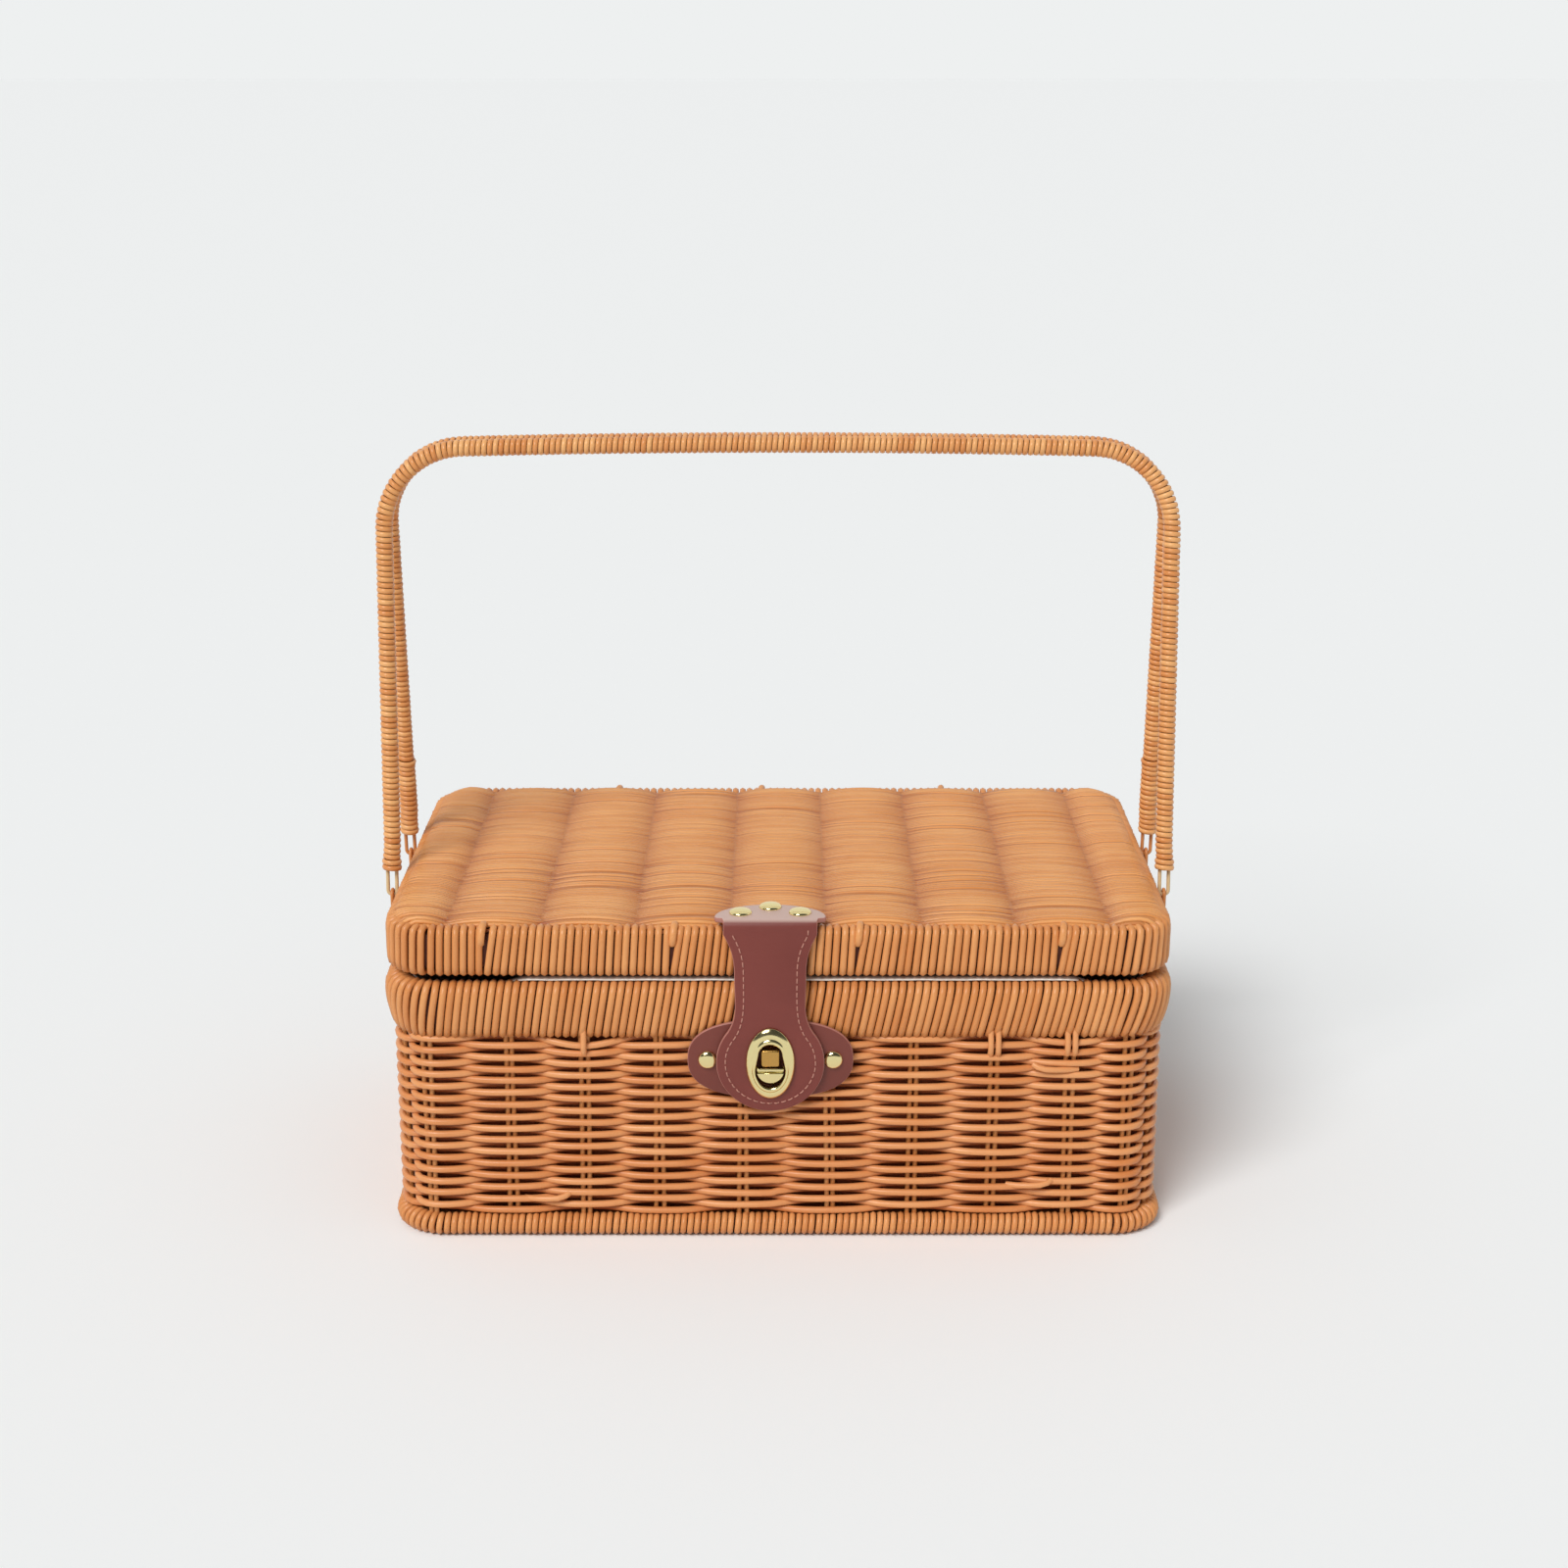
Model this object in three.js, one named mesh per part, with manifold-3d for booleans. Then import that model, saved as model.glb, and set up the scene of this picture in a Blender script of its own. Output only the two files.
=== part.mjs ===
// Lidded picnic basket of round plastic rattan cane, with two folding handles and a leather strap that
// locks on a brass press catch.
// Millimetres, +Z up. The front, with the strap, looks along -Y. The origin is the middle of the base.
import * as THREE from 'three';
import { mergeVertices } from 'three/addons/utils/BufferGeometryUtils.js';
import Module from 'manifold-3d';

const wasm = await Module();
wasm.setup();

// Fits
const GAP = 0.3;              // between pieces that touch
const RUNNING = 0.35;         // between a loop and the groove that it turns in
const THROUGH = 60;           // how far a cutter runs past what it cuts
const ARC_STEPS = 6;          // facets round each plan corner, the same on every piece so that they nest
const FOOT_STEPS = 8;         // facets round the section of the foot roll
const CANE_SIDES = 6;         // of every thin bent cane
const HANDLE_SIDES = 8;
const RING_STEPS = 16;        // bends round a hinge loop
const BEND_STEPS = 7;         // bends round a corner of a handle
const PATCH_STEPS = 36;       // points of the patch's outline

// Basket body: outer sizes over the strands
const BODY_WIDTH = 394;
const BODY_DEPTH = 242;
const BODY_CORNER = 24;       // plan radius of the woven corner
const WALL_THICKNESS = 5;
const WALL_TONGUE = 3;        // the stakes alone, where they run into the rim and the foot
const FOOT_ROLL = 12.4;       // diameter of the wrapped roll under the wall
const FOOT_FLAT = 0.5;        // worn flat under the roll
const WALL_HEIGHT = 98.2;     // woven courses that show between the roll and the rim
const FLOOR_THICKNESS = 4;
const FLOOR_LIFT = 4.2;       // of the floor's underside over the table
const STAKES_LONG = 8;        // pairs of stakes on the front, and on the back, between the corner stakes
const STAKES_SHORT = 5;       // pairs of stakes on each end, between the corner stakes
const COURSES = 6;            // pairs of woven rows
const WEAVE_SWING = 1.9;      // how far a strand swings in and out of the stakes
const STAKE_SEAT = 7;         // how deep the stakes run into the rim

// Rim band, wrapped over the top of the wall
const RIM_HEIGHT = 30;
const RIM_THICKNESS = 14;
// Its outer face from foot to top: how far it stands out, as a share of half its thickness, and how far up,
// as a share of its height
const RIM_SWELL = [[0.36, 0], [0.72, 0.25], [1, 0.58], [1, 0.79], [0.72, 0.94], [0.08, 1]];

// Cotton liner
const LINER_THICKNESS = 1;
const LINER_FLANGE = 7;       // how far its edge is turned out over the rim

// Lid
const LID_GAP = 3;            // between the rim and the lid
const LID_BAND_HEIGHT = 27;
const LID_BAND_THICKNESS = 13;
const LID_STEP = 1.5;         // the lid's outside lies this far inside the rim's
const PANEL_LAP = 9.5;        // how far the woven top laps over the wrapped band
const PANEL_THICKNESS = 6.6;  // from its flat underside to the grooves
const PANEL_CROWN = 1.7;      // of each woven column over its grooves
const PANEL_RISE = 0.5;       // of the grooves over the band
const PANEL_EDGE = 2.4;       // how far the top's edge is rounded down
const PANEL_ROWS = 16;        // woven rows
const PANEL_SWING = 1.3;      // how much lower a row lies where it passes under a rib
const COLUMNS = 9;
const OUTER_COLUMN = 0.61;    // width of the two outermost columns, as a share of the others
const COLUMN_FLANK = 0.26;    // share of a column's width in which its side rises
const RIB_WIDTH = 8;
const RIB_HEIGHT = 4;

// Hinge: two cane loops through the back rails
const HINGE_LOOP_RADIUS = 9.8;
const HINGE_STRAND = 2.8;
const HINGE_SPREAD = 110;     // from the middle to each loop

// Handles
const HANDLE_DIAMETER = 9.4;
const HANDLE_CLEARANCE = 0.8; // between a leg and the side of the lid
const HANDLE_REACH = 238.6;   // from the pivot to the middle of the grip, along the handle
const HANDLE_BOW = 2;         // rise of the grip at its middle
const HANDLE_CORNER = 42;     // radius of the bend, on its middle line
const HANDLE_END = 10.4;      // diameter of the whipping at the foot of a leg
const HANDLE_END_LENGTH = 6;
const HANDLE_END_SHIFT = 0.5; // the whipping sits this much further out than the leg
const HANDLE_SPLAY = 69.4;    // between the pivots of the two handles
const GRIP_GAP = 1;           // between the two grips at rest
const PIVOT_OVER_RIM = 17;    // height of the pivots over the rim
const LINK_STRAND = 2;        // the bare core of a handle, bent into a link
const LINK_WIDTH = 4.7;       // between the middles of its two strands
const LINK_LENGTH = 13.5;     // from the pivot to the foot of the leg
const EYE_STRAND = 1.9;       // cane eye that holds the link
const EYE_RADIUS = 2.65;
const EYE_DROP = 28;          // from the pivot down to where the eye enters the rim
const EYE_SEAT = 5;           // how deep it runs into the rim

// Strap and latch
const LATCH_OFFSET = -3.8;    // the strap hangs a little left of the middle
const LATCH_HEIGHT = 100.5;   // middle of the oval plate over the table
const PATCH_WIDTH = 84;
const PATCH_HEIGHT = 44;
const PATCH_POWER = 2.5;      // of its outline: 2 is an ellipse, and more is squarer
const PATCH_THICKNESS = 2.2;
const PATCH_SLACK = 0.05;     // more than the gap, because the patch is flat and what it leans on is round
const PATCH_RIVET_SPREAD = 31.8;
const PATCH_RIVET_DIAMETER = 9.8;
const PATCH_RIVET_REACH = 9;   // behind the patch, through the woven wall
const STRAP_THICKNESS = 2.6;
const STRAP_STANDOFF = 1.4;   // room between patch and strap for the latch's back plate
const STRAP_BULB = 27.4;      // radius of the round foot of the strap
const STRAP_NECK = 18;        // half width at the narrowest
const STRAP_NECK_HEIGHT = 148;
const STRAP_HEAD = 23.5;      // half width at the lid's edge
const STRAP_RUNOUT = 1.2;     // between the lid's band and the back of the strap at its top
const ROOT_HALF_WIDTH = 28;   // riveted end of the strap on top of the lid
const ROOT_LENGTH = 22;
const ROOT_BEND = 5;
const ROOT_RIVET_DIAMETER = 11.4;
const ROOT_RIVET_SPREAD = 15;
const ROOT_RIVET_SIDE = 9;    // from the lid's front to the two outer rivets
const ROOT_RIVET_MIDDLE = 17.5;
const RIVET_SHANK = 3;
const RIVET_BITE = 3.5;       // how deep the shanks go under the leather
const PLATE_WIDTH = 25;
const PLATE_HEIGHT = 39.6;
const PLATE_EDGE = 0.9;
const PLATE_DOME = 3.4;
const WINDOW_TOP_RADIUS = 5.95;
const WINDOW_FOOT_RADIUS = 7.65;
const WINDOW_TOP = 11.8;      // over the plate's middle
const WINDOW_FOOT = -12.7;
const WINDOW_SHOULDER = -2.6; // height at which the window is widest
const POST_WIDTH = 9.5;
const POST_HEIGHT = 9.6;
const POST_MIDDLE = 4.1;      // over the plate's middle
const POST_PROUD = 0.2;       // over the top of the plate's dome
const POST_FLANGE = 2.2;      // how far its foot spreads
const POST_FLANGE_THICKNESS = 0.6;
const NOTCH_DEPTH = 1.5;
const CATCH_TOP = -1.2;
const CATCH_FOOT = -9.1;
const CATCH_TONGUE = 1.5;     // how far its tongue reaches up, into the notch
const CATCH_PLAY = 0.4;
const CATCH_SIDE_PLAY = 0.65;
const CATCH_TRAVEL = 2.4;
const BACKING_MARGIN = 1.6;   // the back plate is this much smaller than the oval
const BACKING_THICKNESS = 0.7;

// Derived places
const footTop = FOOT_ROLL - FOOT_FLAT;
const wallTop = footTop + WALL_HEIGHT;
const rimBottom = wallTop + GAP;
const rimTop = rimBottom + RIM_HEIGHT;
const lidBottom = rimTop + LID_GAP;
const lidTop = lidBottom + LID_BAND_HEIGHT;
const wallMiddle = BODY_WIDTH / 2 - WALL_THICKNESS / 2;       // half width of the wall's middle line
const wallMiddleDepth = BODY_DEPTH / 2 - WALL_THICKNESS / 2;
const cornerMiddle = BODY_CORNER - WALL_THICKNESS / 2;
const rimHalfWidth = wallMiddle + RIM_THICKNESS / 2;
const rimHalfDepth = wallMiddleDepth + RIM_THICKNESS / 2;
const lidHalfWidth = rimHalfWidth - LID_STEP;
const lidHalfDepth = rimHalfDepth - LID_STEP;
const lidCorner = cornerMiddle + RIM_THICKNESS / 2 - LID_STEP;

const CANE_WEAVE = { color: 0xd08a52, roughness: 0.45, metalness: 0 };
const CANE_WRAP = { color: 0xd9965c, roughness: 0.42, metalness: 0 };
const CANE_HANDLE = { color: 0xdf9f62, roughness: 0.4, metalness: 0 };
const LEATHER = { color: 0x7c423f, roughness: 0.5, metalness: 0 };
const BRASS = { color: 0xd9c47c, roughness: 0.25, metalness: 1 };
const COTTON = { color: 0xe9e2d4, roughness: 0.9, metalness: 0 };

// Geometry helpers

// Turns the faces of a closed skin outwards, judged by the sign of its volume
function faceOutwards(positions, index) {
  let volume = 0;
  const at = (i) => new THREE.Vector3(positions[3 * i], positions[3 * i + 1], positions[3 * i + 2]);
  for (let i = 0; i < index.length; i += 3) {
    volume += at(index[i]).dot(at(index[i + 1]).cross(at(index[i + 2])));
  }
  if (volume < 0) {
    for (let i = 0; i < index.length; i += 3) {
      [index[i], index[i + 1]] = [index[i + 1], index[i]];
    }
  }
}

function skin(points, index) {
  const positions = points.flatMap((p) => [p.x, p.y, p.z]);
  faceOutwards(positions, index);
  const geometry = new THREE.BufferGeometry();
  geometry.setAttribute('position', new THREE.Float32BufferAttribute(positions, 3));
  geometry.setIndex(index);
  return geometry;
}

// Joins rings of points into one closed skin. A loft that isn't closed end to end gets a cap on each end.
function loft(rings, closed) {
  const sides = rings[0].length;
  const count = rings.length;
  const index = [];
  for (let i = 0; i < (closed ? count : count - 1); i++) {
    const next = ((i + 1) % count) * sides;
    for (let j = 0; j < sides; j++) {
      const k = (j + 1) % sides;
      index.push(i * sides + j, i * sides + k, next + k, i * sides + j, next + k, next + j);
    }
  }
  if (!closed) {
    const last = (count - 1) * sides;
    for (let j = 1; j < sides - 1; j++) {
      index.push(0, j + 1, j, last, last + j, last + j + 1);
    }
  }
  return skin(rings.flat(), index);
}

// Points round a rounded rectangle with their outward directions. The stations are extra points on the
// straight stretches: along X on the front and back, along Y on the ends.
function roundedPath(halfWidth, halfDepth, radius, alongX = [], alongY = []) {
  const path = [];
  const straight = (x, y, nx, ny) => path.push({ x, y, nx, ny, corner: false });
  const arc = (cx, cy, start) => {
    for (let i = 0; i <= ARC_STEPS; i++) {
      const angle = start + (i / ARC_STEPS) * (Math.PI / 2);
      const nx = Math.cos(angle);
      const ny = Math.sin(angle);
      path.push({ x: cx + radius * nx, y: cy + radius * ny, nx, ny, corner: true });
    }
  };
  const insideX = halfWidth - radius;
  const insideY = halfDepth - radius;
  alongX.forEach((x) => straight(x, -halfDepth, 0, -1));
  arc(insideX, -insideY, -Math.PI / 2);
  alongY.forEach((y) => straight(halfWidth, y, 1, 0));
  arc(insideX, insideY, 0);
  [...alongX].reverse().forEach((x) => straight(x, halfDepth, 0, 1));
  arc(-insideX, insideY, Math.PI / 2);
  [...alongY].reverse().forEach((y) => straight(-halfWidth, y, -1, 0));
  arc(-insideX, -insideY, Math.PI);
  return path;
}

// A hoop: one closed section carried round a path. A section is a list of [outwards, up].
function hoop(path, section) {
  const rings = path.map((p, i) => (typeof section === 'function' ? section(i) : section)
    .map(([u, v]) => new THREE.Vector3(p.x + u * p.nx, p.y + u * p.ny, v)));
  return loft(rings, true);
}

// Section of a wrapped band: a rectangle from bottom to top with round edges
function bandSection(outer, inner, bottom, top, radius, steps) {
  const points = [];
  const arc = (cu, cv, start) => {
    for (let i = 0; i <= steps; i++) {
      const angle = start + (i / steps) * (Math.PI / 2);
      points.push([cu + radius * Math.cos(angle), cv + radius * Math.sin(angle)]);
    }
  };
  arc(outer - radius, bottom + radius, -Math.PI / 2);
  arc(outer - radius, top - radius, 0);
  arc(inner + radius, top - radius, Math.PI / 2);
  arc(inner + radius, bottom + radius, Math.PI);
  return points;
}

const boxSection = (outer, inner, bottom, top) => [
  [outer, bottom], [outer, top], [inner, top], [inner, bottom],
];

// A round bar along a list of points, with a radius for each point
function bar(points, radii, sides, closed = false) {
  const rings = points.map((p, i) => {
    const before = points[closed ? (i + points.length - 1) % points.length : Math.max(i - 1, 0)];
    const after = points[closed ? (i + 1) % points.length : Math.min(i + 1, points.length - 1)];
    const along = after.clone().sub(before).normalize();
    const across = barNormal(points, along);
    const third = along.clone().cross(across);
    return Array.from({ length: sides }, (_, j) => {
      const angle = (2 * Math.PI * (j + 0.5)) / sides;
      return p.clone()
        .addScaledVector(across, radii[i] * Math.cos(angle))
        .addScaledVector(third, radii[i] * Math.sin(angle));
    });
  });
  return loft(rings, closed);
}

// Every bar here lies in a plane or bends out of it once, so one steady direction frames all its rings
function barNormal(points, along) {
  const helper = Math.abs(along.x) > 0.9 ? new THREE.Vector3(0, 1, 0) : new THREE.Vector3(1, 0, 0);
  const flat = points.every((p) => Math.abs(p.y - points[0].y) < 1e-6);
  const steady = flat ? new THREE.Vector3(0, 1, 0) : helper;
  return steady.sub(along.clone().multiplyScalar(steady.dot(along))).normalize();
}

// A solid for joining and cutting
function solid(geometry) {
  const plain = geometry.clone();
  plain.deleteAttribute('normal');
  plain.deleteAttribute('uv');
  const merged = mergeVertices(plain, 1e-4);
  return new wasm.Manifold(new wasm.Mesh({
    numProp: 3,
    vertProperties: new Float32Array(merged.attributes.position.array),
    triVerts: new Uint32Array(merged.index.array),
  }));
}

function fromSolid(body) {
  const mesh = body.getMesh();
  const geometry = new THREE.BufferGeometry();
  geometry.setAttribute('position', new THREE.BufferAttribute(Float32Array.from(mesh.vertProperties), 3));
  geometry.setIndex(new THREE.BufferAttribute(Uint32Array.from(mesh.triVerts), 1));
  return geometry;
}

function cut(geometry, ...tools) {
  return fromSolid(tools.reduce((body, tool) => body.subtract(solid(tool)), solid(geometry)));
}

function join(geometry, ...more) {
  return fromSolid(more.reduce((body, piece) => body.add(solid(piece)), solid(geometry)));
}

const common = (geometry, tool) => fromSolid(solid(geometry).intersect(solid(tool)));

// A flat piece with its outline in the XY plane, from z = low to z = high
function slab(shape, low, high, curveSegments = 16) {
  const depth = high - low;
  return new THREE.ExtrudeGeometry(shape, { depth, bevelEnabled: false, curveSegments }).translate(0, 0, low);
}

function box(width, depth, height, x, y, z) {
  return new THREE.BoxGeometry(width, depth, height).translate(x, y, z);
}

function roundedShape(halfWidth, halfHeight, radius) {
  const shape = new THREE.Shape();
  shape.absarc(halfWidth - radius, -halfHeight + radius, radius, -Math.PI / 2, 0);
  shape.absarc(halfWidth - radius, halfHeight - radius, radius, 0, Math.PI / 2);
  shape.absarc(-halfWidth + radius, halfHeight - radius, radius, Math.PI / 2, Math.PI);
  shape.absarc(-halfWidth + radius, -halfHeight + radius, radius, Math.PI, 1.5 * Math.PI);
  return shape;
}

function ovalShape(halfWidth, halfHeight) {
  const shape = new THREE.Shape();
  shape.absellipse(0, 0, halfWidth, halfHeight, 0, 2 * Math.PI);
  return shape;
}

// An oval that grows squarer with its power
function superShape(halfWidth, halfHeight, power, count) {
  const share = (value) => Math.sign(value) * Math.abs(value) ** (2 / power);
  return new THREE.Shape(Array.from({ length: count }, (_, i) => {
    const angle = (2 * Math.PI * i) / count;
    return new THREE.Vector2(halfWidth * share(Math.cos(angle)), halfHeight * share(Math.sin(angle)));
  }));
}

// Part tree
const basket = new THREE.Group();

function add(parent, name, finish, geometry) {
  const mesh = new THREE.Mesh(geometry, new THREE.MeshStandardMaterial(finish));
  mesh.name = name;
  parent.add(mesh);
  return mesh;
}

// Hinge loops: cane rings through the back rails of rim and lid, round the hinge's axis
const hingeY = rimHalfDepth - LID_STEP;
const hingeZ = rimTop + LID_GAP / 2;

function hingeLoop(x, thickness) {
  const points = Array.from({ length: RING_STEPS }, (_, i) => {
    const angle = (2 * Math.PI * i) / RING_STEPS;
    const y = hingeY + HINGE_LOOP_RADIUS * Math.cos(angle);
    return new THREE.Vector3(x, y, hingeZ + HINGE_LOOP_RADIUS * Math.sin(angle));
  });
  return bar(points, points.map(() => thickness / 2), CANE_SIDES, true);
}

const hingePlaces = [-HINGE_SPREAD, HINGE_SPREAD];
const hingeGrooves = () => hingePlaces.map((x) => hingeLoop(x, HINGE_STRAND + 2 * RUNNING));

// Handle eyes: a bent cane on each side of the rim for each handle
const legX = lidHalfWidth + HANDLE_CLEARANCE + HANDLE_DIAMETER / 2;
const linkX = legX + HANDLE_END_SHIFT;
const pivotZ = rimTop + PIVOT_OVER_RIM;

function eyePoints(side, pivotY, seat) {
  const x = side * linkX;
  const inside = side * (rimHalfWidth - seat);
  const foot = pivotZ - EYE_DROP;
  const turn = side * (rimHalfWidth + EYE_STRAND);
  const shoulder = foot + Math.abs(x - turn) + 1;
  const leg = (y) => [[inside, y, foot], [turn, y, foot], [x, y, shoulder]];
  const crown = [1, 0.75, 0.5, 0.25, 0].map((share) => {
    const angle = share * Math.PI;
    return [x, pivotY + EYE_RADIUS * Math.cos(angle), pivotZ + EYE_RADIUS * Math.sin(angle)];
  });
  const places = [...leg(pivotY - EYE_RADIUS), ...crown, ...leg(pivotY + EYE_RADIUS).reverse()];
  return places.map((place) => new THREE.Vector3(...place));
}

// The eye's cane, framed by the way it runs from each point to the next
function caneThrough(points, diameter) {
  let across = new THREE.Vector3(0, 0, 1);
  const rings = points.map((p, i) => {
    const before = points[Math.max(i - 1, 0)];
    const after = points[Math.min(i + 1, points.length - 1)];
    const along = after.clone().sub(before).normalize();
    across = across.clone().sub(along.clone().multiplyScalar(across.dot(along))).normalize();
    const third = along.clone().cross(across);
    return Array.from({ length: CANE_SIDES }, (_, j) => {
      const angle = (2 * Math.PI * (j + 0.5)) / CANE_SIDES;
      return p.clone()
        .addScaledVector(across, (diameter / 2) * Math.cos(angle))
        .addScaledVector(third, (diameter / 2) * Math.sin(angle));
    });
  });
  return loft(rings, false);
}

const handlePlaces = [
  { name: 'front_handle', pivotY: -HANDLE_SPLAY / 2, lean: 1 },
  { name: 'rear_handle', pivotY: HANDLE_SPLAY / 2, lean: -1 },
];

const eyes = handlePlaces.flatMap(({ name, pivotY }) => [-1, 1].map((side) => ({
  name: `${name}_eye_${side < 0 ? 'left' : 'right'}`,
  points: eyePoints(side, pivotY, EYE_SEAT),
  socket: eyePoints(side, pivotY, EYE_SEAT + GAP),
})));

// Base
const base = new THREE.Group();
basket.add(base);

// The slot that takes the wall's bare stakes, in the rim and in the foot roll
function tongueSlot(bottom, top) {
  const half = WALL_TONGUE / 2 + GAP;
  return hoop(roundedPath(wallMiddle, wallMiddleDepth, cornerMiddle), boxSection(half, -half, bottom, top));
}

function footRoll() {
  const radius = FOOT_ROLL / 2;
  const half = Math.acos((radius - FOOT_FLAT) / radius);
  const section = Array.from({ length: FOOT_STEPS + 1 }, (_, i) => {
    const angle = -Math.PI / 2 + half + (i / FOOT_STEPS) * (2 * Math.PI - 2 * half);
    return [radius * Math.cos(angle), radius * Math.sin(angle) + radius - FOOT_FLAT];
  });
  const roll = hoop(roundedPath(wallMiddle, wallMiddleDepth, cornerMiddle), section);
  return cut(roll, tongueSlot(footTop / 2 - GAP, footTop + 1));
}

// The woven wall. Each row swings out over one pair of stakes and in behind the next, turn about with the
// rows over and under it. Its inside lies flat behind the liner.
function wovenWall() {
  const quarter = (Math.PI / 2) * cornerMiddle;
  const pitchLong = (2 * (wallMiddle - cornerMiddle) + quarter) / (STAKES_LONG + 1);
  const pitchShort = (2 * (wallMiddleDepth - cornerMiddle) + quarter) / (STAKES_SHORT + 1);
  const stations = (count, pitch) => Array.from(
    { length: 2 * count - 1 }, (_, i) => ((i + 1 - count) * pitch) / 2);
  const path = roundedPath(
    wallMiddle, wallMiddleDepth, cornerMiddle,
    stations(STAKES_LONG, pitchLong), stations(STAKES_SHORT, pitchShort));

  // Pairs of stakes passed on the way round, with one pair at the middle of each corner
  const passed = [];
  let stake = 0;
  const sides = [[STAKES_LONG, pitchLong, pitchShort], [STAKES_SHORT, pitchShort, pitchLong]];
  for (const [count, before, after] of [...sides, ...sides]) {
    for (let i = 0; i < 2 * count - 1; i++) {
      passed.push(stake + i / 2);
    }
    stake += count;
    for (let i = 0; i <= ARC_STEPS; i++) {
      const past = (i / ARC_STEPS - 0.5) * quarter;
      passed.push(stake + past / (past < 0 ? before : after));
    }
    stake += 1;
  }

  const low = footTop + GAP;
  const rise = (wallTop - low) / (2 * COURSES);
  const tongue = WALL_TONGUE / 2;
  const section = (i) => {
    const swing = Math.cos(Math.PI * passed[i]);
    const rows = Array.from({ length: 2 * COURSES }, (_, k) => {
      const turn = k % 2 === 0 ? 1 : -1;
      return [WALL_THICKNESS / 2 - (WEAVE_SWING / 2) * (1 - turn * swing), low + (k + 0.5) * rise];
    });
    return [
      [tongue, footTop / 2], [tongue, low], ...rows, [tongue, wallTop], [tongue, rimBottom + STAKE_SEAT],
      [-tongue, rimBottom + STAKE_SEAT], [-tongue, footTop / 2],
    ];
  };
  return hoop(path, section);
}

// Section of the rim band, which swells outwards towards its top
function rimSection() {
  const half = RIM_THICKNESS / 2;
  const point = ([out, up]) => [out * half, rimBottom + up * RIM_HEIGHT];
  return [...RIM_SWELL, [-0.5, 1], [-0.9, 0.93], [-1, 0.8], [-1, 0.12], [-0.7, 0]].map(point);
}

function rimBand() {
  const band = hoop(roundedPath(wallMiddle, wallMiddleDepth, cornerMiddle), rimSection());
  const sockets = eyes.map((eye) => caneThrough(eye.socket, EYE_STRAND + 2 * GAP));
  return cut(band, tongueSlot(rimBottom - 1, rimBottom + STAKE_SEAT + GAP), ...sockets, ...hingeGrooves());
}

const floorHalfWidth = wallMiddle - FOOT_ROLL / 2 - GAP;
const floorHalfDepth = wallMiddleDepth - FOOT_ROLL / 2 - GAP;
const floorCorner = cornerMiddle - FOOT_ROLL / 2 - GAP;

function linerShell() {
  const outside = wallMiddle - RIM_THICKNESS / 2 - GAP;
  const outsideDepth = wallMiddleDepth - RIM_THICKNESS / 2 - GAP;
  const radius = cornerMiddle - RIM_THICKNESS / 2 - GAP;
  const bottom = FLOOR_LIFT + FLOOR_THICKNESS + GAP;
  const top = rimTop + GAP + LINER_THICKNESS;
  const skirt = slab(roundedShape(outside, outsideDepth, radius), bottom, top, ARC_STEPS);
  const flange = slab(
    roundedShape(outside + LINER_FLANGE, outsideDepth + LINER_FLANGE, radius + LINER_FLANGE),
    rimTop + GAP, top, ARC_STEPS);
  const inside = outside - LINER_THICKNESS;
  const insideDepth = outsideDepth - LINER_THICKNESS;
  const hollow = slab(
    roundedShape(inside, insideDepth, radius - LINER_THICKNESS), bottom + LINER_THICKNESS, top + 1, ARC_STEPS);
  const notchFront = hingeY - HINGE_LOOP_RADIUS - HINGE_STRAND / 2 - RUNNING;
  const notchBack = outsideDepth + LINER_FLANGE + 1;
  const notches = hingePlaces.map((x) => box(
    HINGE_STRAND + 2 * RUNNING, notchBack - notchFront, 4 * LINER_THICKNESS,
    x, (notchBack + notchFront) / 2, rimTop + GAP));
  return cut(join(skirt, flange), hollow, ...notches);
}

add(base, 'foot_roll', CANE_WRAP, footRoll());
add(base, 'floor_panel', CANE_WEAVE, slab(
  roundedShape(floorHalfWidth, floorHalfDepth, floorCorner),
  FLOOR_LIFT, FLOOR_LIFT + FLOOR_THICKNESS, ARC_STEPS));
add(base, 'rim_band', CANE_WRAP, rimBand());
add(base, 'cotton_liner', COTTON, linerShell());
eyes.forEach((eye) => add(base, eye.name, CANE_WRAP, caneThrough(eye.points, EYE_STRAND)));
hingePlaces.forEach((x) => {
  add(base, `hinge_loop_${x < 0 ? 'left' : 'right'}`, CANE_WRAP, hingeLoop(x, HINGE_STRAND));
});

// Latch frame: x to the right, y up along the patch, z out of it. Its origin is behind the plate's middle.
// The patch leans on the woven wall at its foot and on the swell of the rim at its top.
const patchTop = (LATCH_HEIGHT + PATCH_HEIGHT / 2 - rimBottom) / RIM_HEIGHT;
const swellAfter = RIM_SWELL.findIndex(([, up]) => up > patchTop);
const [outBefore, upBefore] = RIM_SWELL[swellAfter - 1];
const [outAfter, upAfter] = RIM_SWELL[swellAfter];
const swell = outBefore + ((patchTop - upBefore) / (upAfter - upBefore)) * (outAfter - outBefore);
const rimAtPatch = wallMiddleDepth + swell * (RIM_THICKNESS / 2);
const tilt = Math.atan((rimAtPatch - BODY_DEPTH / 2) / PATCH_HEIGHT);
const latchY = -(rimAtPatch + BODY_DEPTH / 2) / 2 - GAP - PATCH_SLACK;
const latch = new THREE.Group();
latch.position.set(LATCH_OFFSET, latchY, LATCH_HEIGHT);
latch.rotation.x = Math.PI / 2 + tilt;
latch.updateMatrix();
const intoPart = (geometry) => geometry.clone().applyMatrix4(latch.matrix);

const strapBack = PATCH_THICKNESS + STRAP_STANDOFF;
const strapFace = strapBack + STRAP_THICKNESS;
const plateBack = strapFace + GAP;
const plateTop = plateBack + PLATE_DOME;

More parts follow.
